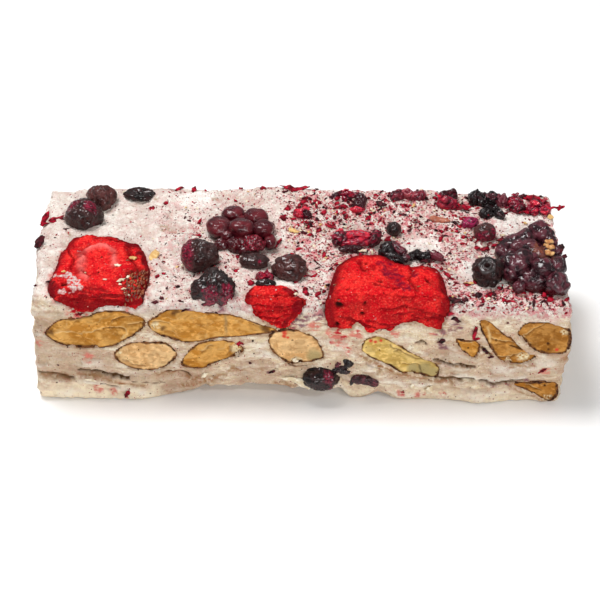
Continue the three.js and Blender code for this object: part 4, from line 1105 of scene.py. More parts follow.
def wrinkled_berry(
    low, high, crown, wrinkle, gloss, seed, lobes=(), flushes=(), bloom=0.0, rings=0.35, sunk=0.0
):
    """A ball stretched to the box and lobed from above, folded in where random heights change sign, with
    a ring raised round its crown."""
    middle, radii = (low + high) / 2, (high - low) / 2
    ways, points = ball(middle, radii, 50, 80)
    off_crown = np.degrees(np.arccos(np.clip(ways @ unit(crown), -1, 1)))
    off_crown = off_crown + 3 * lumps(points + seed, 1.2, 40)
    ring = np.exp(-(((off_crown - 27) / 5) ** 2)) + 0.8 * np.exp(-(((off_crown - 13) / 3.5) ** 2))
    hole = 1 - smooth(off_crown, 2, 8)
    folds = np.abs(lumps(points + 9 * seed, 2.4, 41))
    fine = np.abs(lumps(points + 9 * seed, 1.0, 42))
    swollen = 1 - wrinkle * (1 - smooth(folds, 0, 0.35)) - 0.45 * wrinkle * (1 - smooth(fine, 0, 0.35))
    swollen = swollen + 0.07 * lumps(points + 9 * seed, 3.4, 43)
    swollen = swollen + 0.04 * lumps(points + 9 * seed, 0.8, 45)
    swollen = swollen + rings * (0.11 * ring - 0.2 * hole) - sunk * smooth(ways[..., 2], 0.55, 0.9)
    around = np.arctan2(ways[..., 1], ways[..., 0])
    girth = np.hypot(ways[..., 0], ways[..., 1])
    for count, deep, at in lobes:
        swollen = swollen + deep * (np.cos(count * (around - math.radians(at))) - 0.5) * girth
    swollen = np.minimum(swollen, 1.06)
    points = middle + ways * radii * swollen[..., None]
    red = spots(points[..., 0], points[..., 1], flushes) * (ways[..., 2] > -0.5)
    red = smooth(red + 0.35 * lumps(points, 0.9, 44), 0.15, 0.95)
    fields = dict(
        flush=at_points(red),
        # Painted highlight on the raised crown ring.
        crown=at_points(ring * rings),
        gloss=at_points(gloss + 0 * ring),
        bloom=at_points(bloom + 0 * ring),
    )
    return skin(points), fields


for i, berry in enumerate(blueberries):
    low, high = solid_corners(f"blueberry_{i + 1}")
    grow_low, grow_high = berry.pop("grow", ((0, 0, 0), (0, 0, 0)))
    shape, fields = wrinkled_berry(low + grow_low, high + grow_high, seed=i + 1, **berry)
    name = f"blueberry_skin_{i + 1}"
    make_piece(name, [shape], blueberry_skin, "blueberry", [f"blueberry_{i + 1}"], **fields)

# ---- torn fruit ----
# Shreds of freeze-dried raspberry and cranberry, skins of burst berries and a sliver of almond in its
# skin: brittle folded flakes, most of them clumped together.


def torn_finish(name, dark, middle, bright):
    """Brittle torn fruit, from dark to bright by the shade of each flake."""
    look = Finish(name, 0.3, 0.25, coat=(0.3, 0.12))
    # The shade field holds each scrap's tone, darkened in its grooves as painted shade.
    shade = look.math("ADD", look.field("shade"), look.patches(1.2, 5, 0.3, 0.7, -0.28, 0.28))
    color = look.mix(look.ramp(shade, 0.1, 0.5), dark, middle)
    color = look.mix(look.ramp(shade, 0.55, 0.95), color, bright)
    rough = look.patches(0.9, 4, 0.38, 0.66, 0.12, 0.5)
    return look.finish(color, [(look.noise(0.9, 5), 0.28), (look.noise(0.35), 0.07)], rough)


torn_finishes = {
    "raspberry": torn_finish("raspberry_torn", (0.035, 0.001, 0.005), (0.22, 0.003, 0.022),
                             (0.66, 0.022, 0.050)),
    "cranberry": torn_finish("cranberry_torn", (0.050, 0.004, 0.010), (0.19, 0.012, 0.028),
                             (0.42, 0.07, 0.09)),
    "blueberry": torn_finish("berry_husk", (0.008, 0.003, 0.004), (0.040, 0.008, 0.012),
                             (0.16, 0.02, 0.035)),
    "almond_skin": torn_finish("almond_papery", (0.22, 0.05, 0.03), (0.40, 0.12, 0.07), (0.52, 0.22, 0.14)),
    "magenta": torn_finish("raspberry_magenta", (0.10, 0.002, 0.02), (0.32, 0.006, 0.07),
                           (0.50, 0.04, 0.14)),
}


def rolled(middle, along, reach, folds, seed):
    """A rolled scrap of skin: a spindle with blunt ends, creased lengthwise where the sine of so many
    times the angle round it is near nought, with the angle drifting along the way, and lumpy all over."""
    polar, angle = ring_angles(30, 48)
    along = unit(along)
    across = unit(np.cross((0, 0, 1), along))
    drift = angle + 0.8 * np.cos(polar) + 0.5 * np.sin(4 * np.cos(polar) + seed)
    body = np.sin(polar) ** 0.55
    lumpy = spread(5 * np.cos(polar) + 7 * seed, 3 * np.cos(angle), 3 * np.sin(angle))
    wave = np.sin(0.5 * folds * drift + seed + 0.6 * lumps(lumpy, 3.5, 55))
    groove = 1 - smooth(np.abs(wave), 0.0, 0.55)
    groove = groove * smooth(lumps(lumpy, 3.0, 54), -1.0, 0.3)
    out = body * (1 - 0.42 * groove + 0.26 * lumps(lumpy, 2.6, 51) + 0.12 * lumps(lumpy, 1.1, 52))
    rings = middle + (reach[0] * (np.cos(polar) + 0.12 * lumps(lumpy, 2.2, 53)))[..., None] * along
    rings = rings + (reach[1] * out * np.cos(angle))[..., None] * across
    rings = rings + (reach[2] * out * np.sin(angle))[..., None] * np.cross(along, across)
    return skin(rings), at_points(groove)


def torn_clump(low, high, shades, count, seed):
    """Rolled scraps in a row along the box, one of each shade, and ragged flakes thrown over them, all
    stretched to fill the box."""
    middle, half = (low + high) / 2, (high - low) / 2
    draw = np.random.default_rng(seed)
    long_side = int(half[1] > half[0])
    shapes, shade = [], []
    for step, tone in zip(np.linspace(-1, 1, len(shades)) if len(shades) > 1 else [0], shades):
        at = middle + draw.uniform(-0.2, 0.2, 3) * half
        own = half[long_side] / len(shades)
        at[long_side] = middle[long_side] + step * (half[long_side] - own)
        way = draw.uniform(-0.7, 0.7) + (1.1 if long_side and len(shades) < 2 else 0)
        reach = (1.45 * max(own, 0.5 * half[1 - long_side]), 0.62 * half[1 - long_side], 0.8 * half[2])
        shape, groove = rolled(at, (math.cos(way), math.sin(way), 0), reach, draw.integers(4, 7),
                               seed + step)
        shapes.append(shape)
        # Painted shade: each scrap darker in its grooves.
        shade.append(tone - 0.35 * groove)
    turn = draw.uniform(0, 2 * math.pi, count)
    alongs = np.stack(
        [half[0] * np.cos(turn), half[1] * np.sin(turn), draw.uniform(-0.4, 0.4, count) * half[2]], -1,
    )
    acrosses = np.stack([-np.sin(turn), np.cos(turn), draw.uniform(-0.9, 0.9, count)], -1)
    longs = np.minimum(np.linalg.norm(alongs[:, :2], axis=-1), 2.8) * draw.uniform(0.8, 1.3, count)
    wides = longs * draw.uniform(0.4, 0.7, count)
    sizes = np.stack([longs, wides, draw.uniform(0.3, 0.5, count)], -1)
    middles = middle + half * draw.uniform(-0.75, 0.75, (count, 3)) + np.array([0, 0, 0.3 * half[2]])
    shapes += blades(middles, alongs, acrosses, sizes, 0.2, 0.4, seed + 50, 9, 18)
    tones = draw.choice(shades, count) + draw.uniform(-0.2, 0.3, count)
    shade += [np.full(len(shape[0]), value) for shape, value in zip(shapes[len(shades):], tones)]
    points = np.vstack([points for points, _, _ in shapes])
    lowest, highest = points.min(axis=0), points.max(axis=0)
    fit = 2 * half / (highest - lowest)
    return [(low + (points - lowest) * fit, quads, caps) for points, quads, caps in shapes], shade


# A clump is its node, what it is, the shades of its scraps from its low end and its number of flakes; it
# fills the box of its solid. Other nodes hold scraps placed one by one: (middle, the way it runs, its
# reach, folds, shade).
torn_nodes = [
    ("raspberry_shred_1", "raspberry", (0.0, 0.55, 0.3), 6),
    ("raspberry_shred_3", "cranberry", (0.3, 0.8, 0.5), 0),
    ("raspberry_shred_4", "raspberry", (0.55, 0.15), 2), ("raspberry_shred_5", "raspberry", (0.3, 0.6), 5),
    ("raspberry_shred_6", "raspberry", (0.75, 0.35, 0.65), 7),
    ("raspberry_shred_8", "raspberry", (0.85, 0.1), 4), ("raspberry_shred_9", "magenta", (0.45,), 2),
    ("raspberry_shred_10", "raspberry", (0.6, 0.4), 4),
    ("berry_skin_1", "blueberry", (0.1, 0.3, 0.0, 0.9), 8), ("berry_skin_2", "blueberry", (0.0, 0.2), 8),
    ("berry_skin_4", "blueberry", (0.1, 0.0, 0.95), 5),
]
own_scraps = [
    (
        "raspberry_shred_7", "raspberry",
        [((8.6, 0.6, 28.4), (1, 0.15, 0.1), (1.8, 1.8, 1.5), 4, 0.35),
         ((12.2, 1.5, 28.6), (1, -0.1, 0), (3.6, 1.4, 1.5), 5, 0.8),
         ((12.4, -0.5, 28.2), (1, 0.16, 0), (3.3, 1.2, 1.2), 4, 0.65),
         ((16.4, 0.6, 28.6), (0.45, 1, 0), (2.2, 1.4, 1.7), 5, 0.25),
         ((8.6, 2.5, 29.2), (1, 0.5, 0.3), (0.9, 0.5, 0.5), 3, 1.0),
         ((11.0, -3.0, 28.4), (1, 0.05, 0), (2.6, 0.8, 0.9), 4, -0.1)],
    ),
    (
        "raspberry_shred_2", "raspberry",
        [((13.5, 15.0, 28.7), (0.3, 1, 0.1), (2.3, 1.5, 1.2), 4, -0.15),
         ((12.8, 12.9, 28.1), (1, 0.2, 0), (1.7, 0.8, 0.8), 3, 0.95)],
    ),
    (
        "berry_skin_3", "blueberry",
        [((19.0, -4.2, 28.9), (0.35, 1, 0.1), (2.5, 1.6, 1.7), 4, 0.0),
         ((21.2, -3.8, 29.3), (0.7, -1, 0), (2.5, 1.2, 0.9), 3, 0.75),
         ((20.2, -6.9, 28.6), (1, -0.4, 0), (2.6, 1.3, 1.4), 4, 0.1),
         ((22.4, -5.6, 28.3), (1, -0.9, 0), (1.8, 1.0, 1.0), 3, 0.6)],
    ),
    (
        "berry_skin_6", "blueberry",
        [((14.6, -21.2, 5.8), (1, 0, -0.26), (2.9, 1.2, 1.4), 9, 0.6),
         ((11.7, -21.1, 5.6), (0.35, 0, 1), (1.3, 0.6, 0.5), 4, 0.1)],
    ),
    (
        "berry_skin_7", "blueberry",
        [((8.7, -20.9, 8.9), (1, 0, 0.5), (1.8, 1.0, 0.9), 5, 0.35),
         ((10.4, -20.9, 10.2), (0.5, 0, 1), (1.7, 1.0, 1.1), 5, 0.0),
         ((9.6, -20.9, 8.4), (1, 0, -0.2), (1.7, 0.9, 0.7), 4, 0.1),
         ((8.5, -20.9, 10.2), (1, 0, 1), (0.9, 0.7, 0.5), 4, 0.9)],
    ),
]
for i, (node, kind, shades, count) in enumerate(torn_nodes):
    low, high = solid_corners(node)
    grown = (high - low) * (0.09, 0.12, 0.16)
    shapes, shade = torn_clump(low - grown, high + grown, shades, count, i + 60)
    slot = "blueberry" if kind == "blueberry" else "raspberry"
    make_piece(f"{node}_torn", shapes, torn_finishes[kind], slot, [node], shade=np.concatenate(shade))
for i, (node, kind, scraps) in enumerate(own_scraps):
    shapes, shade = [], []
    for j, (middle, along, reach, folds, tone) in enumerate(scraps):
        shape, groove = rolled(middle, along, reach, folds, 80 + i + 3 * j)
        shapes.append(shape)
        # Painted shade: each scrap darker in its grooves.
        shade.append(tone - 0.35 * groove)
    make_piece(f"{node}_torn", shapes, torn_finishes[kind], kind, [node], shade=np.concatenate(shade))

low, high = solid_corners("almond_sliver")
sliver_size = (4.9, 1.7, 0.9)
shapes = blades([(low + high) / 2], [(1, -0.25, 0)], [(0.2, 1, 0.4)], [sliver_size], 0.15, 0.1, 59, 12, 24)
shade = np.full(len(shapes[0][0]), 0.5)
make_piece("almond_sliver_skin", shapes, torn_finishes["almond_skin"], "almond_skin", ["almond_sliver"],
           shade=shade)

low, high = solid_corners("berry_skin_5")
shape, fields = wrinkled_berry(low, high, (0, 0.5, 1), 0.03, 1.0, seed=12)
make_piece("berry_skin_5_dome", [shape], blueberry_skin, "blueberry", ["berry_skin_5"], **fields)

# ---- nougat ----
# Whipped egg white, honey and sugar, spread in a slab, pressed with the fruit and sliced cold. The top
# is uneven and pasty, stained by crumbs; the cut sides are dragged in smears, with a lower layer that
# stands proud along the front and is torn up in the middle. It closes round every kernel and slice.

edge_radius = 1.1
foot_depth = 0.9
front_rows = 66
top_rows = 100
back_rows = 46
under_rows = 30
face_outlines = {}
for face, details in kernel_faces.items():
    face_outlines[face] = [kernel_outline(kernel, inlay_steps) for kernel in details["kernels"]]
face_outlines["front"] += [slice_["edge"] for slice_ in strawberries]

# Cracks of the front, as (x, z) paths, half widths and depths: the parting over the lower layer at the
# left, the long crack and the fold at the right, and small slits between them.
front_cracks = [
    ([(-48.6, 7.3), (-44.2, 7.4), (-40.4, 6.7), (-37.6, 5.9)], 0.26, 1.1),
    ([(-57.2, 6.9), (-53, 6.6), (-49.8, 5.8)], 0.4, 0.4),
    ([(-43.4, 4.8), (-41.2, 3.8), (-39.6, 3.4)], 0.25, 0.4),
    ([(-36.4, 5.2), (-33, 4.4), (-29.8, 4)], 0.22, 0.4), ([(-29.2, 7.3), (-26.7, 8), (-24, 6.4)], 0.35, 0.5),
    ([(29.6, 11.7), (32, 11.1), (34.5, 10.4), (38.3, 9.6)], 0.24, 1.3),
    ([(27.2, 7.4), (33, 6.7), (38, 6.4)], 0.35, 0.6),
    ([(40, 6.2), (42.6, 5.7), (45.7, 5.9), (49.5, 6.8)], 0.3, 0.6),
    ([(25.2, 16.5), (26.4, 16.6), (27.4, 15.7)], 0.22, 0.7),
    ([(-2.8, 10.4), (-0.6, 9.5), (1.6, 9.6)], 0.25, 0.6), ([(-7, 8), (-4.8, 8.6)], 0.2, 0.3),
    ([(33.2, 8.3), (36, 7.4)], 0.2, 0.3), ([(-57, 21), (-55.6, 22.4)], 0.2, 0.2),
    ([(14.6, 10.4), (19, 8.6)], 0.3, 0.3), ([(39.8, 15.4), (41.8, 13.2)], 0.35, 0.5),
    ([(-16, 9.4), (-10, 8.6), (-6, 9)], 0.3, 0.2),
]


# Ridges of paste squeezed up under the slices and dragged along the front, as (x, z) paths and half widths.
front_ridges = [
    ([(30, 8.2), (35, 7.4), (41, 6.3), (47, 6.7), (50, 7.6)], 0.5),
    ([(10.5, 20.2), (12.6, 21.0), (15.4, 18.9)], 0.8),
    ([(19, 20.2), (22, 21.4), (26, 21.6), (29.6, 20.2)], 0.8), ([(33, 13.4), (38, 12.6)], 0.5),
    ([(43, 9.4), (52, 10.4)], 1.0), ([(-31, 9.8), (-27, 10.6)], 0.6), ([(-40, 3.2), (-34, 2.4)], 0.8),
    ([(-47, 5.4), (-43, 4.8)], 0.5), ([(19, 6.0), (21.6, 5.4), (23.4, 4.4)], 0.6),
    ([(25, 5.4), (27, 4.6), (28.8, 5)], 0.7), ([(14, 9.2), (17, 8)], 0.5), ([(-9, 14), (-5, 12.6)], 0.6),
    ([(36, 3.4), (42, 2.6), (46, 3.2)], 0.6),
]


def torn_lift(x):
    """How far the lower front edge is torn up: ragged waves along the wide tear, and the nick beside it."""
    tear = smooth(x, -31, -17) * (1 - smooth(x, 8, 12))
    return 4 * tear * (0.88 + 0.12 * np.sin(x / 2.1)) + 2.2 * np.exp(-(((x - 17.8) / 2.4) ** 2))


def bar_section(x, shrink):
    """The bar's outline at each station: a rectangle in rows from the lower front edge up, over and down,
    drawn in toward its middle by shrink."""
    front = spread(0, -bar_width / 2, np.linspace(0, bar_height, front_rows, endpoint=False))
    top = spread(0, np.linspace(-bar_width / 2, bar_width / 2, top_rows, endpoint=False), bar_height)
    back = spread(0, bar_width / 2, np.linspace(bar_height, 0, back_rows, endpoint=False))
    under = spread(0, np.linspace(bar_width / 2, -bar_width / 2, under_rows, endpoint=False), 0)
    outline = np.vstack([front, top, back, under])[None]
    middle = np.array([0, 0, bar_height / 2])
    rings = middle + (outline - middle) * np.asarray(shrink)[:, None, None]
    rings[..., 0] = np.asarray(x)[:, None]
    return rings


def inlay_gap(point, outward):
    """The distance of places on the cut faces to the nearest kernel or slice set into that face."""
    gap = np.full(point.shape[:-1], 9.0)
    for face, details in kernel_faces.items():
        spin = math.radians(details["turn"])
        here = outward[..., 0] * math.sin(spin) - outward[..., 1] * math.cos(spin) > 0.5
        along = point[here][:, 0] * math.cos(spin) + point[here][:, 1] * math.sin(spin)
        height = point[here][:, 2]
        nearest = gap[here]
        for outline in face_outlines[face]:
            middle_x, middle_z = outline.mean(axis=0)
            near = np.hypot(along - middle_x, height - middle_z) < np.ptp(outline[:, 0]) / 2 + 8
            nearest[near] = np.minimum(nearest[near], outline_gap(along[near], height[near], outline))
        gap[here] = nearest
    return gap


def nougat_skin(place):
    """Moves places on the plain box out to the nougat: rounded edges, swells, crest, belly, foot and tear,
    as the solid has them, then the relief of each face and the seats of what is set into it."""
    end_x, front_y = bar_length / 2, bar_width / 2
    half = np.array([end_x, front_y, bar_height / 2]) - edge_radius
    centre = np.array([0, 0, bar_height / 2])
    inner = np.clip(place - centre, -half, half) + centre
    outward = place - inner
    outward = outward / np.maximum(np.linalg.norm(outward, axis=-1, keepdims=True), 1e-6)
    point = inner + outward * edge_radius
    x, y, z = np.moveaxis(point, -1, 0)
    up = np.maximum(outward[..., 2], 0)
    under = smooth(-outward[..., 2], 0.3, 0.8)
    bulge = slow_swell(x, y, z)
    moved = point + outward * (0.35, 0.35, 0) * bulge[..., None]
    moved[..., 2] += up * 0.6 * bulge + crest(x, y) * smooth(z, bar_height - 9, bar_height)
    moved[..., 0] += belly_depth * np.exp(-(((z - 15.5) / 6) ** 2)) * smooth(x, end_x - 6, end_x)
    moved[..., 0] -= 0.9 * smooth(z, 12, 24) * smooth(y, -12, 0) * smooth(-x, end_x - 6, end_x)
    near_front = smooth(-y, front_y - 9, front_y)
    lift = torn_lift(x) + 0.5 * lumps(point * (1, 0, 0), 1.3, 60) * smooth(torn_lift(x), 0.2, 2)
    moved[..., 2] += lift * near_front * (1 - z / bar_height)
    feet = smooth(-28 - x, 0, 7) + np.exp(-(((x - 40) / 6) ** 2))
    ledge = moved[..., 2] + 0.7 * lumps(point * (1, 0, 0), 5, 61)
    moved[..., 1] -= foot_depth * feet * near_front * (1 - smooth(ledge, 5.4, 6.8))

    pasty = 0.46 * lumps(point, 4.2, 62) + 0.36 * lumps(point, 2.1, 63) + 0.19 * lumps(point, 1.0, 64)
    parting = 1 - smooth(np.abs(lumps(point * (1, 1.4, 1), 3.4, 65)), 0, 0.2)
    pasty = pasty - 0.55 * parting * smooth(lumps(point, 6, 76), -0.4, 0.3)
    pasty = pasty - 0.20 * (1 - smooth(np.abs(lumps(point, 1.7, 77)), 0, 0.2))
    pasty = pasty + 0.25 * lumps(point, 1.0, 66) * smooth(-y, 17, 20.5)
    dragged = 0.30 * lumps(point * (0.25, 0.25, 1), 1.9, 67)
    dragged = dragged + 0.18 * lumps(point * (0.3, 0.3, 1), 0.9, 68)
    dragged = dragged + 0.20 * lumps(point, 1.3, 69) + 0.15 * lumps(point, 0.65, 70)
    terrace = lumps(point * (0.3, 0.3, 1) + 0.3 * lumps(point, 1.2, 78)[..., None], 1.7, 79)
    dragged = dragged + 0.36 * smooth(terrace, 0.05, 0.17) + 0.26 * smooth(terrace, -0.5, -0.4) - 0.25
    relief = dragged + (pasty - dragged) * smooth(up, 0.3, 0.8)
    gap = inlay_gap(moved, outward) + 0.20 * lumps(point, 1.3, 71) + 0.10 * lumps(point, 0.6, 71)
    flush = 1 - smooth(gap, 0.2, 2.2)
    seat = 1.5 * smooth(-gap, 0.16, 0.6)
    out = relief + flush * (kernel_proud + 0.12 - 0.35 * bulge - 0.75 * relief) - seat
    for slice_ in strawberries:
        inside = smooth(-slice_gap(slice_, x, y) + 0.2 * lumps(point, 0.9, 72), 0.3, 0.9)
        inside = inside * smooth(up, 0.2, 0.7)
        out = out * (1 - inside) - 2.6 * inside
    crack = np.zeros_like(x)
    on_front = outward[..., 1] < -0.6
    front_place = wander(moved[on_front][:, 0], moved[on_front][:, 2], 1.6, 0.45, 6)
    for path, width, depth in front_cracks:
        crack[on_front] = np.maximum(crack[on_front], depth * crease(*front_place, path, width))
    crack = crack * smooth(lumps(point, 1.4, 80), -1.3, -0.2)
    ridge = np.zeros_like(x)
    for path, width in front_ridges:
        ridge[on_front] = np.maximum(ridge[on_front], crease(*front_place, path, width))
    ridge = ridge * smooth(lumps(point, 1.2, 84), -1.2, 0.4) * smooth(gap, 0.1, 0.6)
    out = out + 0.35 * ridge * (1 - up)
    rough_edge = 0.3 * lumps(point, 1.1, 82) * (1 - smooth(moved[..., 2], 0.6, 2.6)) * (1 - up)
    moved = moved + ((out + rough_edge - 0.9 * crack) * (1 - under))[..., None] * outward
    moved[..., 2] = np.maximum(moved[..., 2], 0)
    return moved, dict(relief=relief, crack=crack, ridge=ridge, gap=gap, up=up, front=on_front)


def nougat_finish():
    """Matt cream-white paste, faintly pink on top and warmer on the cut sides, flecked and stained, with
    painted shade in its hollows and cracks and painted highlight on its crests.
    """
    look = Finish("nougat_paste", 0.8, 0.05)
    cream = look.mottle((0.84, 0.775, 0.70), [
        ((0.70, 0.59, 0.53), 3.6, 5, 0.40, 0.60, 1, (1, 1, 1), 1.0),
        ((0.58, 0.42, 0.35), 0.9, 4, 0.50, 0.68, 0.5, (1, 1, 1), 0.5),
        ((0.93, 0.89, 0.85), 0.5, 3, 0.55, 0.70, 0.8),
    ])
    side = look.mottle((0.80, 0.655, 0.44), [
        ((0.63, 0.46, 0.32), 1.5, 5, 0.38, 0.62, 1, (4, 4, 1), 1.2),
        ((0.90, 0.81, 0.63), 1.1, 5, 0.49, 0.62, 0.85, (2.5, 2.5, 1), 1.0),
        ((0.48, 0.30, 0.20), 0.8, 4, 0.54, 0.70, 0.6, (3, 3, 1), 0.8),
        ((0.56, 0.42, 0.30), 0.4, 4, 0.53, 0.66, 0.45),
        ((0.93, 0.86, 0.74), 0.33, 3, 0.57, 0.68, 0.6),
    ])
    side = look.over("dusk", side, (0.48, 0.335, 0.23), 0.62)
    color = look.over("side", cream, side)
    color = look.over("low", color, (0.98, 0.84, 0.61))
    color = look.over("clean", color, (0.97, 0.92, 0.86))
    # Painted highlight: paler on the crests of the relief and along the front ridges.
    color = look.over("crest_highlight", color, (0.93, 0.87, 0.76))
    # Painted shade: brown laid into the low places of the relief.
    color = look.over("hollow", color, (0.44, 0.28, 0.18))
    color = look.over("tan", color, (0.32, 0.15, 0.05), look.patches(0.9, 4, 0.30, 0.55))
    ragged = look.patches(0.8, 4, 0.36, 0.60, stretch=(1.6, 1.6, 1))
    pink = look.math("MULTIPLY", look.field("pink"), 0.85)
    color = look.mix(look.math("MULTIPLY", pink, ragged), color, (0.70, 0.18, 0.14))
    color = look.over("red", color, (0.50, 0.01, 0.02), ragged)
    color = look.over("plum", color, (0.17, 0.04, 0.08), ragged)
    dust = look.field("dust")
    stain = look.math("MULTIPLY", dust, look.patches(1.1, 5, 0.455, 0.60, 0.0, 1.05))
    color = look.mix(stain, color, (0.66, 0.24, 0.25))
    dust_grains = [
        (0.3, 0.30, 0.60, (0.44, 0.05, 0.08)),
        (0.5, 0.22, 0.58, (0.42, 0.03, 0.06)),
        (0.8, 0.20, 0.36, (0.30, 0.01, 0.03)),
    ]
    for size, radius, most, tint in dust_grains:
        color = look.flecks(color, size, radius, look.math("MULTIPLY", dust, most), tint)
    color = look.flecks(color, 1.1, 0.13, 0.35, (0.30, 0.06, 0.07))
    color = look.flecks(color, 1.5, 0.11, 0.40, (0.06, 0.02, 0.015))
    # Painted shade: dark brown down the cracks of the front.
    color = look.over("crease", color, (0.085, 0.040, 0.015))
    return look.finish(color, [(look.noise(0.8, 6), 0.7), (look.noise(0.28), 0.18)])


# Bare white patches of the top, drifts of crumbs on it, and dusty places beside them, as (x, y, radius).
bare_patches = [
    (50, 8.5, 6.5), (28, 0.5, 4.5), (38.5, -8, 4), (9, 20, 3), (42, -12, 3), (-24, 17, 4), (-4, -15, 3),
]
drifts = [
    (12, 12, 7), (22, 15, 5), (2, 10, 6), (37, 3, 5), (44, -18.4, 5), (33, 10, 6), (5, 0, 5), (54, -19, 5),
    (8, -12, 3), (50, -18.6, 4), (38, -18, 4), (44, -20.5, 3), (56, -20.5, 3), (54, 18.5, 4), (47, 19.2, 3),
    (9, 17, 3),
]
dusty_places = [(-30, -9, 6), (-26, -14, 5), (-24, 2, 7), (-12, -10, 5)]


def clean_patches(x, y):
    """Where the top is bare and white."""
    return spots(x, y, bare_patches)


def crumb_density(x, y):
    """How thick the crumbs lie, from 0 to 1: thin at the left, thick over the right half, thickest in
    drifts behind, around the first bramble's right and along the front right, and nearly none on the
    clean patches."""
    thick = 0.02 + 0.06 * smooth(x, -34, -30) + 0.34 * smooth(x, -7, 3)
    thick = thick + 0.6 * spots(x, y, drifts)
    drift = 0.75 + 0.7 * lumps(spread(x, y, 0), 3, 81) + 0.5 * lumps(spread(x, y, 0), 1.3, 85)
    return np.clip(thick * drift * (1 - 0.85 * clean_patches(x, y)), 0, 1)


def dust_density(x, y):
    """How thick the fine dust lies, which spreads wider than the crumbs."""
    thick = 0.05 + 0.19 * smooth(x, -35, -28) + 0.14 * spots(x, y, dusty_places) + 0.35 * smooth(x, -6, 2)
    drift = 0.7 + 0.5 * lumps(spread(x, y, 0), 3.4, 83)
    dust = thick * drift * (1 - 0.75 * clean_patches(x, y))
    return np.clip(dust + 0.75 * crumb_density(x, y), 0, 1)


end_steps = np.linspace(0, 1, 38)[1:-1]
stations = np.linspace(-bar_length / 2, bar_length / 2, 272)
station_x = np.concatenate([0 * end_steps - bar_length / 2, stations, 0 * end_steps + bar_length / 2])
station_shrink = np.concatenate([end_steps, 0 * stations + 1, end_steps[::-1]])
nougat_rings, marks = nougat_skin(bar_section(station_x, station_shrink))
end_middles = [(-bar_length / 2, 0, bar_height / 2), (bar_length / 2, 0, bar_height / 2)]
end_poles = nougat_skin(np.array(end_middles))[0]

x, y, z = np.moveaxis(nougat_rings, -1, 0)
sagging_corner = (1.6 * smooth(-x, 46, 52) + 2.2 * smooth(-x, 52, 56)) * smooth(-y, 17, 20)
top_part = smooth(z - sagging_corner + 1.2 * lumps(nougat_rings, 2.5, 73), 22.5, 25.5)
blotch = 0.6 * lumps(nougat_rings, 1.6, 74) + 0.4 * lumps(nougat_rings, 0.7, 75)
slice_edge = nearest_slice(x, y)
front = marks["front"]
mark_x, mark_z = wander(*wander(x, z, 1.8, 0.6, 8), 0.7, 0.25, 9)
# Marks of the faces: tan smears in front as (x, z) paths and half widths, those along the cracks being
# painted shade; pink, red, plum and dusky places in front as (x, z, radius); and tan places on top as (x, y,
# radius).
tans = [
    ([(-57, 6.7), (-53.5, 6.5), (-50, 5.8)], 0.5), ([(-48.4, 6.6), (-44, 6.3), (-39, 5)], 0.55),
    ([(-39.6, 4.6), (-34, 3.9)], 0.35), ([(-31.4, 7), (-28.4, 7.2), (-26, 8)], 0.8),
    ([(-25, 5.8), (-21, 5.2), (-17, 6.4)], 0.9), ([(-26, 3.2), (-20, 4.6)], 0.7),
    ([(-15.8, 8.2), (-12.8, 8.6)], 0.6), ([(-8.6, 8.5), (-7.2, 8.4)], 0.45), ([(-5, 4.4), (-1.5, 3.8)], 0.7),
    ([(-2.6, 10.6), (0.2, 9.6)], 0.35), ([(12.5, 13.2), (16, 11), (19.6, 9)], 0.5),
    ([(20, 8.4), (26, 6.8), (33.6, 5.8)], 0.8), ([(31.6, 7), (34, 8.4)], 0.6),
    ([(17.5, 11.2), (17.3, 7.7)], 0.4), ([(57.2, 12.4), (59, 13)], 0.8), ([(39.9, 15.6), (42, 12.9)], 0.5),
    ([(38.6, 12.2), (41.6, 14)], 0.4), ([(45.8, 10.4), (51.6, 11.2)], 0.35),
    ([(46.6, 4.8), (50.4, 2.7), (54, 0.6)], 0.35), ([(29.6, 11.8), (38.4, 9.6)], 0.4),
]
pinks = [
    (-46.1, 11.2, 1.6), (-44.3, 3.0, 1.2), (8.8, 17.4, 2.2), (7.4, 19.4, 2), (-48.6, 23.4, 2),
    (32.2, 2.2, 0.8), (22.4, 2.6, 0.9), (3, 21, 1.8), (12, 18.6, 1.6), (-41, 2.2, 1.2), (-20, 14, 1),
    (-57, 15, 1), (53.8, 9.2, 1.2), (26, 2, 1.2), (10.4, 14.6, 1.2), (-1.5, 20.8, 1.2), (45, 24.6, 0.8),
    (-52, 19.8, 0.8), (-36.6, 24.8, 1.0), (20.4, 19, 1.2), (29, 19.2, 1),
]
reds = [
    (-38.1, 0.9, 0.7), (22.9, 2.7, 0.5), (27.7, 2.2, 0.45), (53.2, 9.3, 0.7), (-12.8, 15.8, 0.6),
    (8.2, 19.3, 1.2), (9.8, 17.6, 0.8), (-48.4, 24, 1.4), (32, 25, 0.7), (-46.4, 23.2, 1.0), (7, 16.8, 0.5),
    (10.8, 15.2, 0.5), (12.6, 19, 0.5),
]
plums = [
    (0.4, 22.4, 1.8), (-0.6, 21.0, 1.2), (30.6, 19.4, 1.6), (31.4, 15.2, 1.2), (33.6, 21, 2), (3.4, 24, 1.6),
    (42.8, 4.7, 1.2), (46, 5.6, 0.8), (-24, 24.9, 1.2), (-6.2, 7.6, 0.8), (29, 23, 1.0), (37.4, 20, 1.0),
    (50, 6.8, 0.9), (5.2, 22, 1.0), (32, 24.6, 1.6), (-17, 25.2, 1.0), (-29, 12.2, 0.5),
]
dusks = [
    (-52, 12, 9), (-50, 20, 6), (-26, 4, 10), (-33, 5, 6), (-10, 7, 5), (34, 11, 6), (47, 9, 8), (9, 8, 4),
    (56, 12, 5), (-44, 9, 5), (-57.5, 15, 4), (-57, 9.5, 3),
]
top_tans = [(-30.6, 5.4, 1.3), (-28.6, 4.4, 0.8), (-33, 16, 0.8), (-20, 16.4, 1.0), (-52, 3.2, 0.5)]
halo = (1 - smooth(marks["gap"] + 0.3 * blotch, 0.1, 0.7)) * (z < 25)
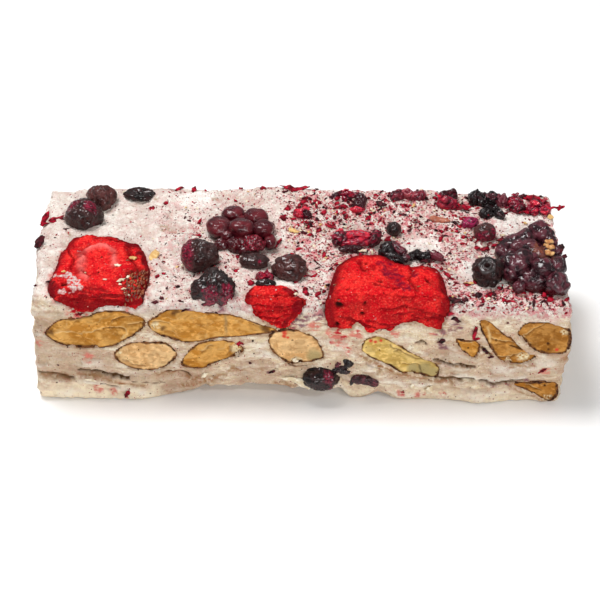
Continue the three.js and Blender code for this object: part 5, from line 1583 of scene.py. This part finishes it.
past_tear = smooth(x, 8, 14)
low = (1 - smooth(z + 2 * blotch, 2.0, 6.0)) * (1 - smooth(x, -34, -28) * (1 - past_tear))
left_end_dusk = 1.3 * smooth(-x + blotch, 53, 56) * smooth(z, 5.5, 8)
top_tan = smooth(spots(*wander(x, y, 1.2, 0.6, 5), top_tans) + 0.6 * blotch, 0.3, 0.9)
# Tan smears in front; those that run along the cracks are painted shade.
front_tan = front * sum(0.85 * crease(mark_x, mark_z, path, width) for path, width in tans)
round_slices = 0.9 * (1 - smooth(slice_edge + 0.6 * blotch, 0.1, 1.1)) * smooth(z, 25, 27)


def front_marks(middles, low, high):
    """Round marks of the front, their edges made uneven, as strong as they reach from low to high."""
    return smooth(spots(mark_x, mark_z, middles) + 0.4 * blotch, low, high)


nougat_fields = dict(
    side=1 - top_part,
    clean=0.85 * clean_patches(x, y) * top_part,
    low=front * low * (0.9 - 0.5 * past_tear),
    dusk=front * np.maximum(smooth(spots(x, z, dusks) + 0.3 * blotch, 0.2, 1.2), left_end_dusk) * (z < 24),
    # Painted highlight: paler on the crests of the relief and along the front ridges.
    crest_highlight=np.maximum(0.55 * smooth(marks["relief"], 0.25, 0.8), 0.7 * marks["ridge"]),
    # Painted shade: darker where the relief sinks, less so on the top.
    hollow=(0.6 - 0.3 * top_part) * smooth(-marks["relief"], 0.05, 0.6),
    tan=np.maximum(0.6 * top_part * top_tan, np.maximum(front_tan, 0.45 * halo * smooth(blotch, -0.5, 0.4))),
    pink=np.maximum(front * front_marks(pinks, 0.3, 0.9), round_slices),
    red=front * front_marks(reds, 0.35, 0.8),
    plum=0.85 * front * front_marks(plums, 0.35, 1.0),
    dust=np.clip(dust_density(x, y) * top_part + 0.10, 0, 1),
    # Painted shade along the cracks cut into the front.
    crease=smooth(marks["crack"] + 0.08 * blotch, 0.12, 0.45),
)
nougat_fields = {name: at_points(values) for name, values in nougat_fields.items()}
nougat_shape = skin(nougat_rings, end_poles[0], end_poles[1])


def on_nougat(x, y, over):
    """Places on the nougat's mesh, on its top and so far down over its front edge: each lies between the
    four points of the mesh round it."""
    column = len(end_steps) + (x / bar_length + 0.5) * (len(stations) - 1)
    on_top = (y / bar_width + 0.5) * top_rows
    row = front_rows + np.where(over > 0, -over / bar_height * front_rows, on_top)
    i, j = column.astype(int), row.astype(int)
    along, across = (column - i)[:, None], (row - j)[:, None]
    lower = nougat_rings[i, j] * (1 - along) + nougat_rings[i + 1, j] * along
    upper = nougat_rings[i, j + 1] * (1 - along) + nougat_rings[i + 1, j + 1] * along
    return lower * (1 - across) + upper * across


make_piece("nougat_paste", [nougat_shape], nougat_finish(), "nougat", ["nougat"], **nougat_fields)

# ---- crumbs ----
# Splinters of the dried fruit that fell on the soft top: crimson raspberry, near-black skin and bits of
# almond. They lie thick on the right half and thin on the left, each kind as one piece, with the larger
# flakes that are pressed into the top, the front and the two ends.


def crumb_finish(name, dark, light):
    """Dry fruit crumb, each part of the scatter a little darker or lighter."""
    look = Finish(name, 0.5, 0.12)
    color = look.mottle(dark, [(light, 1.0, 3, 0.38, 0.62, 1)])
    return look.finish(color, [(look.noise(0.3), 0.05)])


def crumbs(density, count, smallest, largest, power, seed):
    """Small broken lumps as joined icosahedra, scattered over the top and down over its front edge by a
    density, turned at random, flattened and jagged, half sunk. Most are near the smallest size."""
    draw = np.random.default_rng(seed)
    golden = (1 + 5**0.5) / 2
    corner = np.array(
        [(-1, golden, 0), (1, golden, 0), (-1, -golden, 0), (1, -golden, 0), (0, -1, golden), (0, 1, golden),
         (0, -1, -golden), (0, 1, -golden), (golden, 0, -1), (golden, 0, 1), (-golden, 0, -1),
         (-golden, 0, 1)],
    )
    corner = corner / np.linalg.norm(corner[0])
    faces = np.array(
        [(0, 11, 5), (0, 5, 1), (0, 1, 7), (0, 7, 10), (0, 10, 11), (1, 5, 9), (5, 11, 4), (11, 10, 2),
         (10, 7, 6), (7, 1, 8), (3, 9, 4), (3, 4, 2), (3, 2, 6), (3, 6, 8), (3, 8, 9), (4, 9, 5), (2, 4, 11),
         (6, 2, 10), (8, 6, 7), (9, 8, 1)],
    )
    tries = 12 * count
    x = draw.uniform(-bar_length / 2 + 0.6, bar_length / 2 - 0.6, tries)
    y = draw.uniform(-bar_width / 2 - 2.4, bar_width / 2 - 0.4, tries)
    over = np.maximum(-bar_width / 2 - y, 0)
    outside = nearest_slice(x, y) > 0.2
    chosen = draw.uniform(0, 1, tries) < density(x, y) * (1 - over / 3)
    kept = np.flatnonzero(chosen & outside)[:count]
    x, y, over, count = x[kept], y[kept], over[kept], len(kept)
    size = smallest + (largest - smallest) * draw.uniform(0, 1, count) ** power
    shape = corner * (1 + 0.35 * draw.uniform(-1, 1, (count, 12, 1))) * size[:, None, None] / 2
    stretch = [draw.uniform(low, high, count) for low, high in ((0.9, 1.8), (0.6, 1), (0.35, 0.8))]
    shape = shape * np.stack(stretch, -1)[:, None]
    turn = draw.uniform(0, 2 * math.pi, (count, 1))
    tilt = draw.uniform(-0.6, 0.6, (count, 1))
    px = shape[..., 0] * np.cos(turn) - shape[..., 1] * np.sin(turn)
    py = shape[..., 0] * np.sin(turn) + shape[..., 1] * np.cos(turn)
    pz = shape[..., 2] + tilt * shape[..., 0]
    points = spread(px, py, pz + 0.06 * size[:, None]) + on_nougat(x, y, over)[:, None]
    all_faces = (faces[None] + 12 * np.arange(count)[:, None, None]).reshape(-1, 3)
    return points.reshape(-1, 3), np.empty((0, 4), int), all_faces


# A loose flake is (x, y, length, width, degrees it is turned by, height over the top).
top_flakes = {
    "crimson": [
        (-55.5, 8.2, 4.2, 1.5, 28, 0.3), (-34.1, 11.7, 1.5, 1.1, 10, 0.2), (-31, 13.8, 1.3, 0.9, 50, 0.2),
        (-31.1, -12.4, 1.4, 0.8, 40, 0.2), (-24.9, 19.6, 2.2, 1.1, 80, 0.5),
        (-28.4, 20.6, 2.6, 0.8, 40, 0.3), (-14.1, 20.6, 1.2, 0.9, 30, 0.3), (-3.2, 20.4, 3.8, 1.3, -24, 0.3),
        (0, 20.4, 3.8, 1.2, 22, 0.3), (-5.2, 0.1, 4.4, 0.8, 66, 0.4), (37, 14, 3.8, 1.5, 8, 0.7),
        (44.6, 2, 2, 0.8, -8, 0.4), (41, -0.9, 2.4, 1.1, 10, 0.3), (43, 0.2, 1.6, 1.0, 40, 0.3),
        (39.2, -0.6, 1.4, 0.9, -40, 0.3), (42.6, 11.2, 1.4, 1.0, 20, 0.8), (52.4, 15, 2.2, 1.2, 100, 0.4),
        (51, 13.2, 2.4, 1.0, 20, 0.6), (1.2, -17.2, 1.6, 1.0, 70, 0.2), (-29.9, -11.3, 0.9, 0.6, 0, 0.2),
        (15.2, 9.6, 1.8, 0.9, 60, 0.3), (6.6, 6.6, 2.2, 0.8, -10, 0.3), (23.6, 14.2, 1.8, 0.9, 20, 0.3),
        (32, -10.4, 2.6, 0.9, -60, 0.3), (52.5, -17.4, 1.6, 1.0, 80, 0.3), (53.4, -19.2, 1.8, 1.1, 40, 0.4),
        (40.6, -17.4, 1.8, 0.9, 60, 0.3), (45, -19.6, 2.2, 0.7, 10, 0.2), (36, -14.6, 1.6, 0.9, -20, 0.3),
        (-10.8, -14.7, 1.6, 1.3, 20, 0.35), (9.6, 12.8, 1.6, 1.2, 80, 0.4), (49.2, 18.8, 3.0, 1.6, 10, 0.6),
        (53.5, 18.2, 3.4, 1.8, -15, 0.6), (55.8, 17.6, 2.2, 1.4, 60, 0.5),
    ],
    "dark": [
        (-53, 4.7, 1.3, 0.45, 4, 0.1), (-57.2, -15.7, 0.7, 0.5, 10, 0.1), (-54.4, -15.3, 1.1, 0.4, 20, 0.1),
        (3.7, -6.9, 2.4, 0.4, -52, 0.2), (-4.0, 19.3, 1.6, 0.6, 10, 0.2), (33.4, -20.6, 2.4, 1.4, -20, 0.4),
        (31.6, -19.8, 1.5, 1.0, 30, 0.5), (35.2, -20.2, 1.4, 0.8, 10, 0.3), (27.4, -6.3, 2.6, 1.0, 4, 0.5),
        (38.2, -18.3, 1.7, 1.2, 30, 0.4), (41.6, -16.6, 1.4, 0.8, -30, 0.4), (-26.4, 9, 1.2, 0.4, 70, 0.1),
        (-25.4, 8, 1, 0.4, -20, 0.1), (-31, -20.8, 1.6, 0.8, 10, 0.2), (-25.6, -20.6, 1.2, 0.6, -10, 0.2),
        (23.2, 10.8, 1.9, 0.6, -10, 0.2), (18.4, 14.4, 2.4, 1.5, -30, 0.45), (51.2, 19.3, 2.6, 1.3, 20, 0.5),
        (46.2, 19.3, 2.4, 1.2, -10, 0.5),
    ],
    "pale": [
        (-32.3, -4.0, 5.2, 1.8, 74, 0.7), (-36.6, -8.4, 1.6, 0.9, -10, 2.0),
        (-51.2, -13.2, 1.0, 0.6, 0, 1.7), (-1.6, 4.8, 2.9, 1.1, -20, 0.4), (36.5, -13.8, 1.8, 0.8, 10, 0.3),
        (51, 10.0, 1.1, 0.5, -30, 0.2), (57, 11.8, 1.4, 1.1, 20, 0.3),
    ],
    "cream": [
        (-39.7, -11.2, 1.6, 0.6, -6, 2.1), (-38.6, -16.3, 1.7, 0.9, 30, 1.9),
        (-37.6, -19.6, 1.3, 0.5, 10, 2.0), (-36.9, -21, 1.8, 0.6, -24, 1.6),
        (-36.8, -18.4, 0.8, 0.4, 50, 1.9), (-42, -16.4, 0.9, 0.3, 0, 2.05), (22.6, -3.0, 2.6, 0.9, -50, 0.4),
        (13.6, -3.6, 2.0, 0.7, 6, 0.9), (-5.2, -18.9, 1.2, 0.8, 40, 1.3), (-0.9, -19.6, 0.9, 0.6, 10, 1.2),
        (-37.2, -15.3, 1.0, 0.5, 50, 2.0), (-38.6, -18, 0.8, 0.5, -30, 2.0),
        (-46.6, -13.2, 0.4, 0.4, 0, 1.4),
    ],
}
# A flake in front is (x, z, length, width, degrees it is turned by, how far it stands out).
front_flakes = {
    "crimson": [
        (-38.1, 2.0, 2.2, 1.1, 56, 1.2), (-13.0, 15.8, 1.8, 1.2, 20, 0.2), (37.7, 19.6, 4.4, 0.75, 82, 0.25),
        (38.2, 17.9, 1.6, 0.8, 10, 0.2), (53.2, 9.3, 2.2, 0.9, 28, 0.2), (22.9, 2.7, 0.9, 0.5, -10, 0.2),
        (32.2, 24.8, 1.6, 0.8, 20, 0.3), (-47.4, 23.4, 1.6, 0.9, 10, 0.1),
    ],
    "dark": [
        (30.6, 17.2, 1.6, 1.1, 30, 0.2), (12.5, 13.9, 0.5, 0.5, 0, 0.1), (-6.0, 7.7, 1.4, 0.6, 26, -0.15),
        (-10.8, 10.4, 0.6, 0.5, 0, 0.1), (-52.9, 9.2, 0.5, 0.4, 0, 0.1), (51.6, 7.6, 0.5, 0.4, 0, 0.1),
        (44.6, 22.4, 0.5, 0.4, 0, 0.1), (-10.2, 16.6, 0.4, 0.4, 0, 0.1), (40.4, 14.8, 1.8, 1.0, -60, 0.2),
        (41.8, 13.1, 1.2, 0.7, 20, 0.2), (33.4, 23.4, 2.2, 1.3, -40, 0.3), (-5.2, 12.6, 1.6, 0.4, -36, 0.1),
        (-24.6, 24.9, 1.8, 0.6, 10, 0.2), (-18, 24.4, 1.4, 0.5, -10, 0.2),
    ],
    "cream": [
        (-1.5, 5.9, 5.4, 1.3, -15, 0.3), (1.0, 4.7, 3.8, 2.0, -38, 0.3), (-20.9, 7.0, 1.8, 1.2, 40, 0.2),
        (52.8, 10.8, 1.5, 0.7, -20, 0.2), (-45.6, 5.6, 3.6, 1.0, -22, 1.1), (28.6, 3.6, 2.2, 1.8, 60, 0.3),
        (25, 4.4, 1.6, 1.2, 30, 0.2), (-0.9, 11.4, 1.6, 1.2, 60, 0.2),
    ],
}


def draw_flakes(kind, seed):
    """The loose flakes of one kind as blades: those on top lie level, those in front lie in its plane."""
    tops = np.array(top_flakes.get(kind, np.empty((0, 6))), float)
    fronts = np.array(front_flakes.get(kind, np.empty((0, 6))), float)
    ground = nougat_skin(spread(tops[:, 0], tops[:, 1], bar_height))[0][:, 2]
    inside = nearest_slice(tops[:, 0], tops[:, 1]) < 0
    height = np.where(inside, bar_height, ground) + tops[:, 5]
    face_y = knife_front - fronts[:, 5] + 0.1
    middles = np.vstack([spread(tops[:, 0], tops[:, 1], height), spread(fronts[:, 0], face_y, fronts[:, 1])])
    turn, zero = np.radians(tops[:, 4]), 0 * tops[:, 0]
    face_turn, face_zero = np.radians(fronts[:, 4]), 0 * fronts[:, 0]
    top_along = spread(np.cos(turn), np.sin(turn), zero)
    top_across = spread(-np.sin(turn), np.cos(turn), zero + 0.3)
    face_along = spread(np.cos(face_turn), face_zero, np.sin(face_turn))
    face_across = spread(-np.sin(face_turn), face_zero - 0.1, np.cos(face_turn))
    alongs, acrosses = np.vstack([top_along, face_along]), np.vstack([top_across, face_across])
    sizes = np.vstack([tops[:, 2:5], fronts[:, 2:5]])
    sizes[:, 2] = 0.35 + 0.1 * sizes[:, 1]
    return blades(middles, alongs, acrosses, sizes, 0.15, 0.55, seed, 7, 18)


# A flake over an end is its middle, the way it runs, the way it is wide, and its size.
end_flakes = {
    "crimson": [
        ((-58.0, 7.4, 28.1), (0.5, 0.5, 0.9), (1, 0.2, -0.3), (3.4, 1.6, 0.7)),
        ((-58.1, 6.4, 27.5), (0.9, 0.2, 0.2), (0, 1, -0.3), (1.8, 1.2, 0.5)),
        ((57.6, 14.0, 28.4), (1, 0.1, 0.05), (0, 1, 0.2), (3.4, 0.7, 0.5)),
        ((59.2, 14.2, 28.4), (1, 0.5, 0.2), (0, 1, 0.4), (2.0, 1.5, 0.5)),
        ((57.7, -1.0, 27.0), (0.2, 0.9, 0.3), (1, 0, 0.4), (1.4, 0.8, 0.4)),
    ],
    "dark": [
        ((-58.2, -0.6, 27.5), (0.6, 0.5, 0.8), (1, -0.3, -0.3), (3.4, 1.7, 0.8)),
        ((-58.6, -1.4, 26.8), (0.3, 0.6, -0.5), (1, 0.3, 0), (1.8, 1.3, 0.5)),
        ((57.0, -4.6, 30.2), (0.2, 1, 0.1), (1, 0, 0.5), (3.0, 1.8, 0.6)),
        ((57.4, -7.2, 29.6), (0.4, 1, 0), (1, 0, 0.6), (2.6, 1.6, 0.5)),
    ],
}

fine, coarse = dust_density, crumb_density
crumb_kinds = [
    (
        "crimson", "raspberry", [(fine, 5600, 0.12, 0.5, 2.0), (coarse, 950, 0.25, 1.5, 3.6)],
        (0.09, 0.001, 0.005), (0.42, 0.006, 0.026),
    ),
    (
        "dark", "blueberry", [(fine, 2600, 0.12, 0.4, 2.0), (coarse, 420, 0.3, 1.3, 3.0)],
        (0.012, 0.003, 0.004), (0.085, 0.010, 0.016),
    ),
    ("pale", "almond", [(coarse, 60, 0.3, 0.8, 2.0)], (0.62, 0.36, 0.13), (0.80, 0.55, 0.24)),
    ("cream", "nougat", [(fine, 300, 0.3, 1.0, 2.0)], (0.68, 0.55, 0.36), (0.87, 0.79, 0.62)),
]
for i, (kind, slot, scatters, dark, light) in enumerate(crumb_kinds):
    shapes = [crumbs(*scatter, seed=90 + 7 * i + j) for j, scatter in enumerate(scatters)]
    shapes += draw_flakes(kind, 95 + i)
    for middle, along, across, size in end_flakes.get(kind, ()):
        shapes += blades([middle], [along], [across], [size], 0.3, 0.6, 130 + i, 9, 20)
    make_piece(f"crumbs_{kind}", shapes, crumb_finish(f"crumb_{kind}", dark, light), slot)
